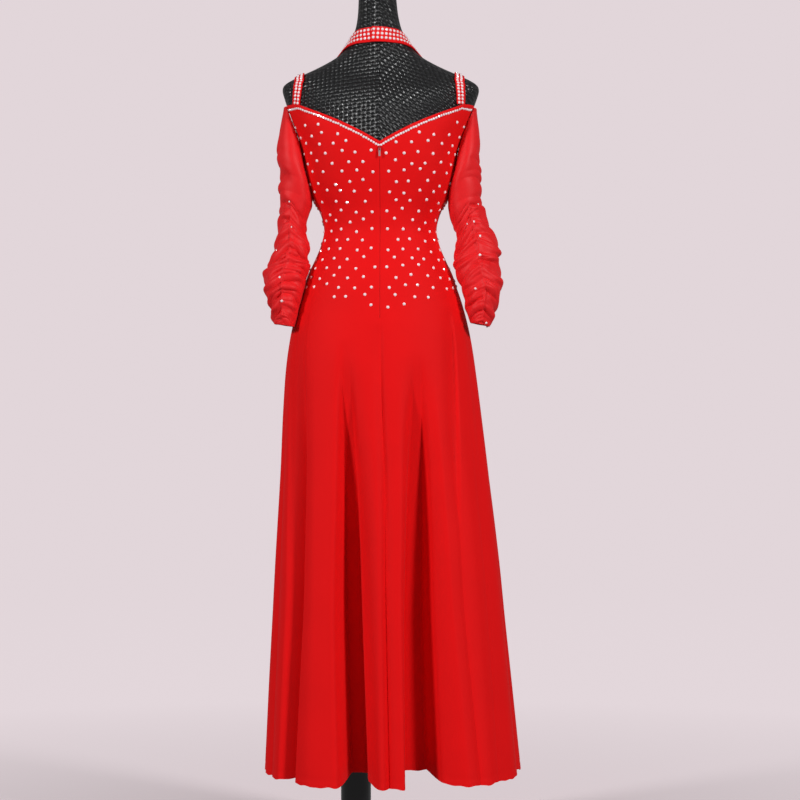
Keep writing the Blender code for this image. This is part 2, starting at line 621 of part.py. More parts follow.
def build_sleeves():
    """Gathered mesh tubes, open at armhole and cuff."""
    for name, side, rows in (("sleeve_left", -1.0, SLEEVE_LEFT), ("sleeve_right", 1.0, SLEEVE_RIGHT)):
        outer = sleeve_surface(rows, side)
        inner = outer - sleeve_normals(outer, side) * MESH_CLOTH
        if side < 0:
            outer = outer[:, ::-1]
            inner = inner[:, ::-1]
        wall(name, outer, inner, "red_mesh", ring=True)


def turned(name, profile, centre, finish, sides=32):
    """Round piece from a profile (radius, height) run top to bottom, by a Screw modifier."""
    mesh = bpy.data.meshes.new(name)
    points = [(radius, 0.0, height) for radius, height in profile]
    mesh.from_pydata(points, [(i, i + 1) for i in range(len(points) - 1)], [])
    mesh.materials.append(new_material(finish))
    thing = bpy.data.objects.new(name, mesh)
    thing.location = centre
    bpy.data.collections["ballroom_dress"].objects.link(thing)
    screw = thing.modifiers.new("turn", "SCREW")
    screw.steps = sides
    screw.render_steps = sides
    screw.use_merge_vertices = True
    screw.merge_threshold = 0.00005
    screw.use_smooth_shade = True
    return thing


def build_form():
    """Smooth limbless torso with its neck, on a pole that stands on a round base."""
    levels = np.concatenate([
        np.linspace(FORM_BOTTOM, 1.03, 5),
        np.linspace(1.06, 1.40, 16),
        np.linspace(1.415, 1.50, 9),
        np.linspace(1.508, 1.58, 9),
        np.linspace(1.60, 1.66, 2),
    ])
    angles = np.linspace(0.0, 360.0, 30, endpoint=False)
    height, angle = np.meshgrid(levels, angles, indexing="ij")
    bare = np.clip((height - BARE_FROM) / (NECK_SIDE - BARE_FROM), 0.0, 1.0)
    seat = CLOTH + BODY_GAP + (STRAP_GAP - BODY_GAP) * bare
    dressed = off_surface(bodice_surface, angle, height, -seat)
    hips = section_point(FORM_HIPS, angle, np.minimum(height, FORM_HIPS[-1].height))
    share = np.clip((height - HIPS_TO) / (WAIST_FROM - HIPS_TO), 0.0, 1.0)[..., None]
    rings = hips + (dressed - hips) * share
    rings[..., 2] = np.where(height < WAIST_FROM, height, rings[..., 2])
    points = rings.reshape(-1, 3)
    columns = len(angles)
    faces = []
    for row in range(len(levels) - 1):
        for column in range(columns):
            after = (column + 1) % columns
            low = row * columns
            faces.append([low + column, low + after, low + columns + after, low + columns + column])
    faces.append(list(range(columns))[::-1])
    top = (len(levels) - 1) * columns
    faces.append(list(range(top, top + columns)))
    add_mesh("form_body", points, faces, "black_form")
    pole_top = FORM_BOTTOM - SEAM
    base_top = BASE_THICKNESS
    pole = [
        (0.0, pole_top),
        (POLE_RADIUS, pole_top),
        (POLE_RADIUS, base_top + SEAM),
        (0.0, base_top + SEAM),
    ]
    turned("form_pole", pole, (POLE_X, 0.0, 0.0), "black_metal")
    base = [
        (0.0, base_top),
        (BASE_RADIUS - BASE_EDGE, base_top),
        (BASE_RADIUS, base_top - BASE_EDGE),
        (BASE_RADIUS, 0.0),
        (0.0, 0.0),
    ]
    turned("form_base", base, (POLE_X, 0.0, 0.0), "black_metal", sides=40)


# Zip: slider with its bridge, and the pull tab that hangs from it
ZIP_AXIS_HEIGHT = 1.3285
SLIDER_WIDTH = 0.0052
SLIDER_LENGTH = 0.0100
SLIDER_DEPTH = 0.0018
BRIDGE_WIDTH = 0.0016
BRIDGE_INSIDE = 0.0021    # from the axis to the bridge's legs
BRIDGE_WIRE = 0.0007
PULL_LENGTH = 0.0145
PULL_WIDTH = 0.0038
PULL_DEPTH = 0.0009
PULL_AXIS_OUT = 0.0014    # pull axis above the slider's face
PULL_PLAY = 0.0003        # clear of the bridge on either side
WINDOW_OUT = 0.00085      # the bridge's window, from the axis away from the cloth
WINDOW_IN = 0.00095       # and towards it
PLATE_LAP = 0.0002        # the plate and the bridge run into each other by this much
ZIP_ANGLE = 1.5           # the cloth is measured this far from the centre back, degrees


def add_box(bm, low, high):
    """Box between two corners."""
    centre = [(a + b) * 0.5 for a, b in zip(low, high)]
    size = [b - a for a, b in zip(low, high)]
    made = bmesh.ops.create_cube(bm, size=1.0)["verts"]
    bmesh.ops.scale(bm, vec=size, verts=made)
    bmesh.ops.translate(bm, vec=centre, verts=made)


def loop_prism(outline, half_width):
    """Points and faces of an outline in the YZ plane carried across X."""
    count = len(outline)
    left = [(-half_width, y, z) for y, z in outline]
    right = [(half_width, y, z) for y, z in outline]
    faces = [list(range(count)), [count + i for i in reversed(range(count))]]
    for i in range(count):
        j = (i + 1) % count
        faces.append([j, i, count + i, count + j])
    return left + right, faces


def build_zip():
    """Slider on the seam just under the V, with a pull hinged under its bridge."""
    ends = np.array([ZIP_AXIS_HEIGHT - 0.5 * SLIDER_LENGTH, ZIP_AXIS_HEIGHT + 0.5 * SLIDER_LENGTH])
    cloth_y = bodice_surface(np.array([ZIP_ANGLE, ZIP_ANGLE]), ends)[:, 1].min()
    back_y = cloth_y - SEAM
    face_y = back_y - SLIDER_DEPTH
    axis_y = face_y - PULL_AXIS_OUT
    half = 0.5 * SLIDER_LENGTH
    leg = BRIDGE_INSIDE + BRIDGE_WIRE
    arch_out = -PULL_AXIS_OUT - 0.5 * PULL_DEPTH
    outline = [
        (SLIDER_DEPTH + PULL_AXIS_OUT, -half),
        (PULL_AXIS_OUT, -half),
        (PULL_AXIS_OUT, -leg),
        (arch_out * 0.5, -leg),
        (arch_out, -0.5 * leg),
        (arch_out, 0.5 * leg),
        (arch_out * 0.5, leg),
        (PULL_AXIS_OUT, leg),
        (PULL_AXIS_OUT, half),
        (SLIDER_DEPTH + PULL_AXIS_OUT, half),
    ]
    points, faces = loop_prism(outline, 0.5 * BRIDGE_WIDTH)
    slider = add_mesh("zip_slider", points, faces, "red_zip_metal", smooth_shading=False)
    slider.location = (0.0, axis_y, ZIP_AXIS_HEIGHT)
    cutters = bpy.data.collections["cutters"]
    cut = bmesh.new()
    add_box(
        cut,
        (-0.5 * SLIDER_WIDTH, -WINDOW_OUT, -BRIDGE_INSIDE),
        (0.5 * SLIDER_WIDTH, WINDOW_IN, BRIDGE_INSIDE),
    )
    add_boolean(slider, cut, "bridge_window", cutters, "DIFFERENCE")
    body = bmesh.new()
    add_box(
        body,
        (-0.5 * SLIDER_WIDTH, PULL_AXIS_OUT - PLATE_LAP, -half),
        (0.5 * SLIDER_WIDTH, PULL_AXIS_OUT + SLIDER_DEPTH, half),
    )
    add_boolean(slider, body, "slider_plate", cutters, "UNION")
    tab = bmesh.new()
    add_box(
        tab,
        (-0.5 * PULL_WIDTH, -0.5 * PULL_DEPTH, -PULL_LENGTH),
        (0.5 * PULL_WIDTH, 0.5 * PULL_DEPTH, 0.5 * PULL_DEPTH),
    )
    mesh = bpy.data.meshes.new("zip_pull")
    tab.to_mesh(mesh)
    tab.free()
    mesh.materials.append(new_material("red_zip_metal"))
    pull = bpy.data.objects.new("zip_pull", mesh)
    bpy.data.collections["ballroom_dress"].objects.link(pull)
    pull.location = (0.0, axis_y, ZIP_AXIS_HEIGHT)
    hole = bmesh.new()
    clear = 0.5 * BRIDGE_WIDTH + PULL_PLAY
    add_box(hole, (-clear, -PULL_DEPTH, -leg - BRIDGE_WIRE), (clear, PULL_DEPTH, -0.5 * PULL_DEPTH))
    add_boolean(pull, hole, "pull_window", cutters, "DIFFERENCE")


def add_boolean(target, form, name, collection, operation):
    """Cut or join a hidden form, made at the target's own place."""
    mesh = bpy.data.meshes.new(name)
    form.to_mesh(mesh)
    form.free()
    cutter = bpy.data.objects.new(name, mesh)
    collection.objects.link(cutter)
    cutter.location = target.location
    cutter.hide_render = True
    cutter.display_type = "WIRE"
    step = target.modifiers.new(name, "BOOLEAN")
    step.operation = operation
    step.object = cutter


def clear_scene():
    """Remove what the file holds and make the two collections."""
    for thing in list(bpy.data.objects):
        bpy.data.objects.remove(thing, do_unlink=True)
    for name in ("ballroom_dress", "cutters"):
        collection = bpy.data.collections.new(name)
        bpy.context.scene.collection.children.link(collection)


clear_scene()
skirt_gore("skirt_back_left", "back_left", "centre_back")
skirt_gore("skirt_back_right", "centre_back", "back_right")
skirt_gore("skirt_side_right", "back_right", "front_right")
skirt_gore("skirt_front", "front_right", "front_left")
skirt_gore("skirt_side_left", "front_left", "back_left")
build_bodice()
build_binding("neckline_binding_back", 0.0, NECK_V_BACK)
build_binding("neckline_binding_front", 180.0, NECK_V_FRONT)
build_straps()
build_neckband()
build_sleeves()
build_form()
build_zip()
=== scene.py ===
import math
from collections import namedtuple

import bpy
import mathutils
import numpy as np
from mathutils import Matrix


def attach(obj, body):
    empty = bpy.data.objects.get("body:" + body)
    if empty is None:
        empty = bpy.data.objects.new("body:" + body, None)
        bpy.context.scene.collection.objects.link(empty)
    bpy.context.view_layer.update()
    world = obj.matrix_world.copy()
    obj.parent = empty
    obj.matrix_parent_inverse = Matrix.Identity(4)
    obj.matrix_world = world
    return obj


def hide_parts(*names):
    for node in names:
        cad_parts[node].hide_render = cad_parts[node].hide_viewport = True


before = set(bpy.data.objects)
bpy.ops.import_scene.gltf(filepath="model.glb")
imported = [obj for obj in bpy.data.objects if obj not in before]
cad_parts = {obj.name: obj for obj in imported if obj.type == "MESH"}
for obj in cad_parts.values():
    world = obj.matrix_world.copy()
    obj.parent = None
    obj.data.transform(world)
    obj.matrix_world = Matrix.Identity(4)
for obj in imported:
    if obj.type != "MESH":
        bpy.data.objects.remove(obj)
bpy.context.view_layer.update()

# The dress form
# A limbless torso with a long neck, woven from glossy black cord in two panels that meet at
# the centre back. The sections below are those of the dressed body: above the neckline the
# form's own, under the bodice the cloth that lies on it, and below the hips the skirt.
Section = namedtuple("Section", "height shift half_width back front square")
BODY = [
    Section(0.100, 0.0270, 0.2480, 0.171, 0.171, 2.2),
    Section(0.147, 0.0256, 0.2455, 0.167, 0.168, 2.2),
    Section(0.2155, 0.0237, 0.2405, 0.163, 0.163, 2.2),
    Section(0.3295, 0.0205, 0.2320, 0.157, 0.156, 2.2),
    Section(0.4435, 0.0175, 0.2230, 0.151, 0.149, 2.2),
    Section(0.5575, 0.0148, 0.2145, 0.146, 0.142, 2.2),
    Section(0.7285, 0.0092, 0.1990, 0.139, 0.130, 2.2),
    Section(0.8425, 0.0040, 0.1885, 0.134, 0.121, 2.2),
    Section(0.9280, 0.0012, 0.1790, 0.129, 0.113, 2.2),
    Section(0.9850, 0.0008, 0.1700, 0.124, 0.107, 2.2),
    Section(1.0420, 0.0006, 0.1560, 0.116, 0.099, 2.2),
    Section(1.0690, 0.0006, 0.1470, 0.111, 0.095, 2.2),
    Section(1.0990, 0.0006, 0.1370, 0.103, 0.092, 2.2),
    Section(1.1275, 0.0006, 0.1235, 0.094, 0.088, 2.2),
    Section(1.1560, 0.0006, 0.1120, 0.085, 0.084, 2.2),
    Section(1.1830, 0.0008, 0.1065, 0.080, 0.082, 2.2),
    Section(1.2130, 0.0008, 0.1130, 0.082, 0.086, 2.3),
    Section(1.2470, 0.0006, 0.1310, 0.089, 0.103, 2.4),
    Section(1.2795, 0.0004, 0.1420, 0.096, 0.116, 2.5),
    Section(1.3230, 0.0000, 0.1475, 0.103, 0.118, 2.6),
    Section(1.3520, 0.0000, 0.1555, 0.105, 0.112, 2.6),
    Section(1.3760, 0.0000, 0.1650, 0.104, 0.103, 2.6),
    Section(1.4160, 0.0010, 0.1800, 0.097, 0.088, 2.5),
    Section(1.4350, 0.0015, 0.1865, 0.091, 0.080, 2.4),
    Section(1.4480, 0.0015, 0.1900, 0.085, 0.073, 2.3),
    Section(1.4590, 0.0015, 0.1880, 0.078, 0.066, 2.2),
    Section(1.4700, 0.0015, 0.1710, 0.072, 0.060, 2.2),
    Section(1.4820, 0.0010, 0.1450, 0.067, 0.056, 2.1),
    Section(1.4960, 0.0000, 0.1140, 0.063, 0.053, 2.1),
    Section(1.5190, -0.001, 0.0760, 0.058, 0.050, 2.0),
    Section(1.5450, -0.002, 0.0560, 0.054, 0.048, 2.0),
    Section(1.5720, -0.003, 0.0450, 0.051, 0.046, 2.0),
    Section(1.6000, -0.004, 0.0405, 0.048, 0.044, 2.0),
    Section(1.6650, -0.006, 0.0365, 0.046, 0.042, 2.0),
]


def clamp(values):
    """Values held between 0 and 1."""
    return np.clip(values, 0.0, 1.0)


def smooth(rows, column, at):
    """Monotone cubic through one column of a table, over the table's first column.

    Each inner tangent is the harmonic mean of the slopes beside it, and level at a turn.
    """
    x = np.array([row[0] for row in rows], dtype=float)
    y = np.array([getattr(row, column) for row in rows], dtype=float)
    width = np.diff(x)
    slope = np.diff(y) / width
    tangent = np.zeros(len(x))
    before = slope[:-1]
    after = slope[1:]
    same = before * after > 0
    total = np.where(same, before + after, 1.0)
    tangent[1:-1] = np.where(same, 2.0 * before * after / total, 0.0)
    tangent[0] = slope[0]
    tangent[-1] = slope[-1]
    at = np.asarray(at, dtype=float)
    cell = np.clip(np.searchsorted(x, at) - 1, 0, len(width) - 1)
    s = clamp((at - x[cell]) / width[cell])
    start = y[cell] + s * s * (3.0 - 2.0 * s) * (y[cell + 1] - y[cell])
    bend = s * (1.0 - s) ** 2 * tangent[cell] - s * s * (1.0 - s) * tangent[cell + 1]
    return start + bend * width[cell]


def soften(values, reach):
    """Running mean with a bell weight, so that no section shows as a band."""
    steps = np.arange(-3 * reach, 3 * reach + 1)
    weight = np.exp(-0.5 * (steps / reach) ** 2)
    padded = np.pad(values, 3 * reach, mode="edge")
    return np.convolve(padded, weight / weight.sum(), mode="valid")


LEVELS = np.arange(0.100, 1.6651, 0.001)
PROFILE = {column: soften(smooth(BODY, column, LEVELS), 5) for column in Section._fields[1:]}
STEP_ANGLE = 0.2          # small steps on a surface, in degrees and metres
STEP_HEIGHT = 0.001


def profile(column, height):
    """One size of the body's section at a height."""
    return np.interp(height, LEVELS, PROFILE[column])


def section(height):
    """Half width, back, front, squareness and sideways shift of the body at a height."""
    columns = ("half_width", "back", "front", "square", "shift")
    return [profile(column, height) for column in columns]


def unit(vectors):
    """Vectors of length one in the same directions."""
    return vectors / np.linalg.norm(vectors, axis=-1, keepdims=True)


def body_point(angle, height, inside=0.0):
    """Superellipse section of the body, moved in by a distance along its level normal.

    |x / half width| ** square + |y / depth| ** square is 1 on it, the depth being the back's or
    the front's. The angle goes from the centre back (0) over the right side (90) to the front.
    """
    turn = np.radians(angle)
    side = np.sin(turn)
    depth = np.cos(turn)
    half_width, back, front, power, shift = section(height)
    reach = np.where(depth > 0, back, front)
    radius = (np.abs(side) ** power + np.abs(depth) ** power) ** (-1.0 / power)
    x = half_width * side * radius
    y = -reach * depth * radius
    normal_x = x / half_width ** 2
    normal_y = y / reach ** 2
    length = np.hypot(normal_x, normal_y)
    x = x - inside * normal_x / length + shift
    y = y - inside * normal_y / length
    return np.stack([x, y, np.broadcast_to(height, x.shape)], axis=-1)


def out_of(surface, angle, height, out):
    """Point of a surface moved out along its normal, found from small steps on it."""
    along = surface(angle + STEP_ANGLE, height) - surface(angle - STEP_ANGLE, height)
    up = surface(angle, height + STEP_HEIGHT) - surface(angle, height - STEP_HEIGHT)
    return surface(angle, height) + np.asarray(out)[..., None] * unit(np.cross(along, up))


def grid_mesh(name, grid, ring=False, wall=0.0):
    """Quads between the neighbours of a rows x columns grid of points.

    A ring joins its last column to its first. A wall thickens it inwards, and its cut edges
    stay crisp.
    """
    rows, columns = grid.shape[:2]
    spans = columns if ring else columns - 1
    row, column = np.meshgrid(np.arange(rows - 1), np.arange(spans), indexing="ij")
    after = (column + 1) % columns
    corners = [row * columns + column, row * columns + after]
    corners += [(row + 1) * columns + after, (row + 1) * columns + column]
    faces = np.stack(corners, axis=-1).reshape(-1, 4)
    mesh = bpy.data.meshes.new(name)
    mesh.vertices.add(rows * columns)
    mesh.vertices.foreach_set("co", grid.reshape(-1).astype(np.float32))
    mesh.loops.add(faces.size)
    mesh.loops.foreach_set("vertex_index", faces.reshape(-1).astype(np.int32))
    mesh.polygons.add(len(faces))
    mesh.polygons.foreach_set("loop_start", np.arange(0, faces.size, 4, dtype=np.int32))
    mesh.update(calc_edges=True)
    mesh.validate()
    mesh.shade_smooth()
    ends = np.empty(2 * len(mesh.edges), dtype=np.int32)
    mesh.edges.foreach_get("vertices", ends)
    end_row, end_column = np.divmod(ends.reshape(-1, 2), columns)
    border = (end_row == 0).all(axis=1) | (end_row == rows - 1).all(axis=1)
    if not ring:
        border |= (end_column == 0).all(axis=1) | (end_column == columns - 1).all(axis=1)
    mesh.attributes.new("sharp_edge", "BOOLEAN", "EDGE").data.foreach_set("value", border)
    piece = bpy.data.objects.new(name, mesh)
    bpy.context.scene.collection.objects.link(piece)
    if wall:
        thick = piece.modifiers.new("wall", "SOLIDIFY")
        thick.thickness = wall
        thick.offset = -1.0
        thick.use_rim = True
    return piece


def dress_up(piece, material, slot, *nodes):
    """Give a piece its material and its body, and hide the nodes that it stands for. The slot is
    not used.
    """
    piece.data.materials.clear()
    piece.data.materials.append(material)
    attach(piece, "dress_and_form")
    if nodes:
        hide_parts(*nodes)


class Signal:
    """A shader socket that takes arithmetic: each operation adds a Math node."""

    def __init__(self, finish, socket):
        self.finish = finish
        self.socket = socket

    def math(self, operation, *others):
        """This signal and others through one Math node."""
        return self.finish.math(operation, self, *others)

    def __add__(self, other):
        return self.math("ADD", other)

    def __radd__(self, other):
        return self.finish.math("ADD", other, self)

    def __sub__(self, other):
        return self.math("SUBTRACT", other)

    def __rsub__(self, other):
        return self.finish.math("SUBTRACT", other, self)

    def __mul__(self, other):
        return self.math("MULTIPLY", other)

    def __rmul__(self, other):
        return self.finish.math("MULTIPLY", other, self)

    def __truediv__(self, other):
        return self.math("DIVIDE", other)

    def __pow__(self, other):
        return self.math("POWER", other)


class Finish:
    """A Principled material, its shader's fixed values given by the names of their sockets."""

    def __init__(self, name, **values):
        self.material = bpy.data.materials.new(name)
        self.material.use_nodes = True
        self.tree = self.material.node_tree
        self.shader = self.tree.nodes["Principled BSDF"]
        for socket, value in values.items():
            self.shader.inputs[socket.replace("_", " ")].default_value = value

    def plug(self, value, socket):
        """Link a signal to a socket, or set the socket's own value."""
        if isinstance(value, Signal):
            self.tree.links.new(value.socket, socket)
        else:
            socket.default_value = value

    def node(self, kind, settings=None, inputs=None, output=0):
        """Add a node: its settings first, then the values or links of its sockets."""
        made = self.tree.nodes.new("ShaderNode" + kind)
        for key, value in (settings or {}).items():
            setattr(made, key, value)
        for key, value in (inputs or {}).items():
            self.plug(value, made.inputs[key])
        return Signal(self, made.outputs[output])

    def math(self, operation, *values):
        """One Math node."""
        return self.node("Math", {"operation": operation}, dict(enumerate(values)))

    def feed(self, socket, value):
        """Link a signal to one of the shader's sockets."""
        self.plug(value, self.shader.inputs[socket])

    def place(self):
        """Object coordinates, whole and split into x, y and z."""
        where = self.node("TexCoord", output=3)
        split = self.node("SeparateXYZ", None, {0: where}).socket.node
        return where, [Signal(self, split.outputs[i]) for i in range(3)]

    def noise(self, where, scale, detail=2.0):
        """Soft noise at a scale per metre."""
        return self.node("TexNoise", None, {"Vector": where, "Scale": scale, "Detail": detail})

    def mix(self, factor, first, second):
        """Mix of two colours."""
        made = self.tree.nodes.new("ShaderNodeMix")
        made.data_type = "RGBA"
        self.plug(factor, made.inputs[0])
        self.plug(first, made.inputs[6])
        self.plug(second, made.inputs[7])
        return Signal(self, made.outputs[2])

    def bump(self, height, strength, distance):
        """Normal raised by a height signal."""
        inputs = {"Strength": strength, "Distance": distance, "Height": height}
        return self.node("Bump", None, inputs)


# The form under the cloth is a smooth torso with its own hips: out of sight it follows the
# bodice inside it, and towards the neckline the gap narrows until straps and neckband lie on it.
WEAVE_PITCH = 0.0084      # width of one pillow of the woven cord
WEAVE_RISE = 0.0072       # and its height
SEAM_HALF = 0.0022        # half the width of the form's own seam line
# Tones of the cord: the darker one colours the seam line and is painted shade in the hollows
# between pillows, the lighter one the pillows' tops
WEAVE_SEAM_AND_SHADE = (0.001, 0.001, 0.0012, 1.0)
WEAVE_LIGHT = (0.016, 0.0165, 0.018, 1.0)


def woven_black():
    """Basket weave in glossy black cord: pillows that lie across and upright by turns.

    Rows fall towards the shoulders, more on the right half, where columns lean as well. A
    pillow's height is the product of two sine arches, the one across the cord being the rounder.
    """
    finish = Finish("form_woven_black", Roughness=0.30, Specular_IOR_Level=0.55)
    where, (x, y, z) = finish.place()
    right = x.math("GREATER_THAN", -0.002)
    across = (x + z * right * 0.42) / WEAVE_PITCH
    up = (z + x * (right * 0.46 - 0.14)) / WEAVE_RISE
    column = across.math("FLOOR")
    row = up.math("FLOOR")
    odd = (column + row).math("PINGPONG", 1.0)
    part_across = ((across - column) * math.pi).math("SINE")
    part_up = ((up - row) * math.pi).math("SINE")
    lying = part_up ** 1.3 * part_across ** 0.55
    upright = part_across ** 1.3 * part_up ** 0.55
    height = lying * odd + upright * (1.0 - odd)
    seam = (x.math("ABSOLUTE") / SEAM_HALF).math("MINIMUM", 1.0)
    # Painted shade: the base colour darkens from each pillow's top into the hollows round it, and
    # the seam line takes the darkest tone
    finish.feed("Base Color", finish.mix(height * seam, WEAVE_SEAM_AND_SHADE, WEAVE_LIGHT))
    finish.feed("Roughness", 0.24 + finish.noise(where, 260.0) * 0.16)
    finish.feed("Normal", finish.bump(height, 0.9, 0.0022))
    return finish.material


FORM_GAP = 0.0048         # from the bodice's outer face in to the form
BARE_GAP = 0.0030         # and from the straps and neckband
BARE_FROM = 1.395         # the gap narrows from this height on
BARE_OVER = 0.020
HIPS_TO = 1.00            # the form has its own hips up to here
HIPS_OVER = 0.06          # and blends into the dressed body over this height
Hips = namedtuple("Hips", "height half_width back front")
FORM_HIPS = [
    Hips(0.900, 0.122, 0.092, 0.078),
    Hips(0.920, 0.134, 0.101, 0.085),
    Hips(0.960, 0.145, 0.109, 0.090),
    Hips(1.010, 0.148, 0.112, 0.092),
    Hips(1.050, 0.147, 0.110, 0.092),
]
form_levels = np.concatenate([np.arange(0.900, 1.40, 0.010), np.arange(1.40, 1.6601, 0.0030)])
form_height, form_angle = np.meshgrid(form_levels, np.arange(0.0, 360.0, 2.0), indexing="ij")
bare = clamp((form_height - BARE_FROM) / BARE_OVER)
torso_points = out_of(body_point, form_angle, form_height, (FORM_GAP - BARE_GAP) * bare - FORM_GAP)
hip_height = np.minimum(form_height, FORM_HIPS[-1].height)
hip_turn = np.radians(form_angle)
hip_width, hip_back, hip_front = (
    smooth(FORM_HIPS, column, hip_height) for column in Hips._fields[1:]
)
hip_depth = np.where(np.cos(hip_turn) > 0, hip_back, hip_front)
hip_x = hip_width * np.sin(hip_turn)
hip_points = np.stack([hip_x, -hip_depth * np.cos(hip_turn), form_height], axis=-1)
dressed = clamp((form_height - HIPS_TO) / HIPS_OVER)[..., None]
torso_points = hip_points + (torso_points - hip_points) * dressed


def closed_ends(points, steps=3):
    """A ring grid with its ends drawn in to their middles, so that it is shut."""
    shares = np.linspace(1.0, 0.002, steps + 1)[1:]
    low = points[0].mean(axis=0)
    high = points[-1].mean(axis=0)
    first = [low + (points[0] - low) * share for share in shares[::-1]]
    last = [high + (points[-1] - high) * share for share in shares]
    return np.concatenate([np.array(first), points, np.array(last)])


torso = grid_mesh("woven_torso", closed_ends(torso_points), ring=True)
dress_up(torso, woven_black(), "black_form", "form_body")


# Pole and base
# Gloss black stand under the torso. Both pieces are the frame's own, and only their finish is
# new.
def refinish(node, finish):
    """Give one of the frame's own pieces a better material."""
    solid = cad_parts[node]
    solid.data.materials.clear()
    solid.data.materials.append(finish.material)


black = (0.004, 0.004, 0.005, 1.0)
stand_black = Finish("stand_black", Base_Color=black, Roughness=0.12, Coat_Weight=0.5)
for node in ("form_pole", "form_base"):
    refinish(node, stand_black)


# The skirt
# Five flared gores of red stretch crepe, sewn to one another and to the bodice at the basque
# seam round the hips, from which they hang in soft folds.

# Each row is a ridge or a valley: its angle at the seam, the thigh, the knee and the hem, how
# far it lies inside the section at the hem and how far it is tucked aside there (millimetres),
# where it starts, how keenly the cloth bends between it and the next row, and the seam on it.
Fold = namedtuple("Fold", "top thigh knee hem depth tuck start keen seam", defaults=[None])
FOLDS = [
    Fold(-86, -80, -78, -77, 0, 0, 1.00, 1.8),
    Fold(-79, -74, -70, -69, 6, 0, 0.98, 1.8),
    Fold(-70, -66, -58.5, -59.0, 0, 0, 1.00, 1.5),
    Fold(-55.5, -48.8, -48.2, -51.0, 46, 9, 0.98, 2.0, "back_left"),
    Fold(-51, -45.2, -44.0, -46.5, 5, 0, 1.00, 1.5),
    Fold(-45, -40, -38, -38, 0, 0, 1.00, 1.0),
    Fold(-32, -29, -30, -28, 1, 0, 1.00, 4.0),
    Fold(-24, -22.5, -23.2, -19.8, 84, -18, 0.94, 1.0),
    Fold(-18, -18.0, -16.8, -14.6, 82, 2, 0.94, 1.3),
    Fold(-14, -14.0, -13.2, -11.0, 34, 0, 0.94, 1.5),
    Fold(-5, -4.5, -4.3, -4.8, 0, 0, 1.00, 2.2),
    Fold(0, 0.6, -1.8, -2.2, 12, 2, 1.00, 2.4, "centre_back"),
    Fold(10, 9.5, 5.6, 4.6, 0, 0, 1.00, 1.9),
    Fold(20, 20.0, 12.8, 8.4, 96, -20, 0.95, 1.0),
    Fold(25, 24.5, 20.2, 18.6, 94, 6, 0.95, 1.4),
    Fold(29, 28.0, 24.2, 23.6, 30, 2, 0.95, 1.5),
    Fold(36, 33, 32, 35, 2, 0, 0.98, 2.4),
    Fold(58, 41.5, 38, 40, 5, 2, 0.98, 2.0, "back_right"),
    Fold(67, 50, 48, 46, 0, 0, 1.00, 1.8),
    Fold(78, 58, 56, 52.5, 6, 0, 0.96, 1.8),
    Fold(87, 74, 68, 64, 0, 0, 1.00, 1.8),
    Fold(97, 92, 86, 82, 16, 0, 0.94, 1.8),
    Fold(108, 104, 101, 99, 0, 0, 1.00, 3.0),
    Fold(116, 114, 110, 108, 48, 8, 0.93, 1.0),
    Fold(120, 118, 115, 113, 40, 2, 0.93, 1.6),
    Fold(129, 128, 126, 124, 0, 0, 1.00, 2.4),
    Fold(138, 137, 136, 135, 14, 0, 0.98, 2.0, "front_right"),
    Fold(147, 146, 145, 145, 1, 0, 1.00, 1.9),
    Fold(158, 158, 157, 155.5, 54, -8, 0.92, 1.0),
    Fold(162, 162, 161, 160.5, 48, -2, 0.92, 1.8),
    Fold(172, 174, 174, 173, 0, 0, 1.00, 1.8),
    Fold(184, 186, 187, 187, 24, 3, 0.95, 2.0),
    Fold(196, 198, 199, 200, 0, 0, 1.00, 3.2),
    Fold(207, 209, 209.5, 210, 56, -8, 0.92, 1.0),
    Fold(211, 213, 214.5, 215.5, 46, -2, 0.92, 1.8),
    Fold(220, 222, 224, 225, 1, 0, 1.00, 2.2),
    Fold(230, 231, 233, 235, 13, 0, 0.98, 2.2, "front_left"),
    Fold(239, 241, 243, 245, 0, 0, 1.00, 1.9),
    Fold(247, 250, 251.5, 253, 44, -6, 0.94, 1.0),
    Fold(251, 254, 256.5, 258.5, 34, 0, 0.94, 1.6),
    Fold(259, 264, 266, 267, 0, 0, 1.00, 2.0),
    Fold(266, 273, 275, 276, 24, 3, 0.95, 2.0),
]
CLOTH = 0.0016
HEM_HEIGHT = 0.147
KNEE_HEIGHT = 0.49
THIGH_HEIGHT = 0.86
BASQUE_BACK = 1.013       # the seam to the bodice at the back, the front and the side
BASQUE_FRONT = 1.020
BASQUE_SIDE = 1.067
SEAM = 0.0003
VALLEY_LIFT = 0.23        # the hem rises in a valley by this share of its depth
SIDE_LIFT = 0.012         # and at the sides, where the gores are shorter
HEM_RIPPLE = 0.0006
HEM_STITCHES = 0.014      # the hem's stitches lie this far above its edge
FOLD_HEIGHTS = [HEM_HEIGHT, KNEE_HEIGHT, THIGH_HEIGHT, BASQUE_SIDE]
FOLD_STEPS = 10           # columns of quads between two fold lines
FOLD_LINES = [
    soften(np.interp(LEVELS, FOLD_HEIGHTS, [fold.hem, fold.knee, fold.thigh, fold.top]), 30)
    for fold in FOLDS
]


def bell(away, width):
    """Bell curve: e to the power of minus the square of the distance over the width."""
    return np.exp(-(away / width) ** 2)


def pick(values, index):
    """The value at an index of the last axis, for each place of the index."""
    return np.take_along_axis(values, index[..., None], -1)[..., 0]


def fold_lines(height):
    """Angles of all the fold lines at each height."""
    return np.stack([np.interp(height, LEVELS, line) for line in FOLD_LINES], axis=-1)


def fold_sizes(height, size):
    """Depths or tucks of all the fold lines, each growing from its start down to the hem.

    A share s of the way down it has reached s ** 1.5 / (s ** 1.5 + 0.24 (1 - s)) of its size.
    """
    sizes = []
    for fold in FOLDS:
        share = clamp((fold.start - height) / (fold.start - HEM_HEIGHT))
        grown = share ** 1.5 / (share ** 1.5 + 0.24 * (1.0 - share))
        sizes.append(0.001 * getattr(fold, size) * grown)
    return np.stack(sizes, axis=-1)


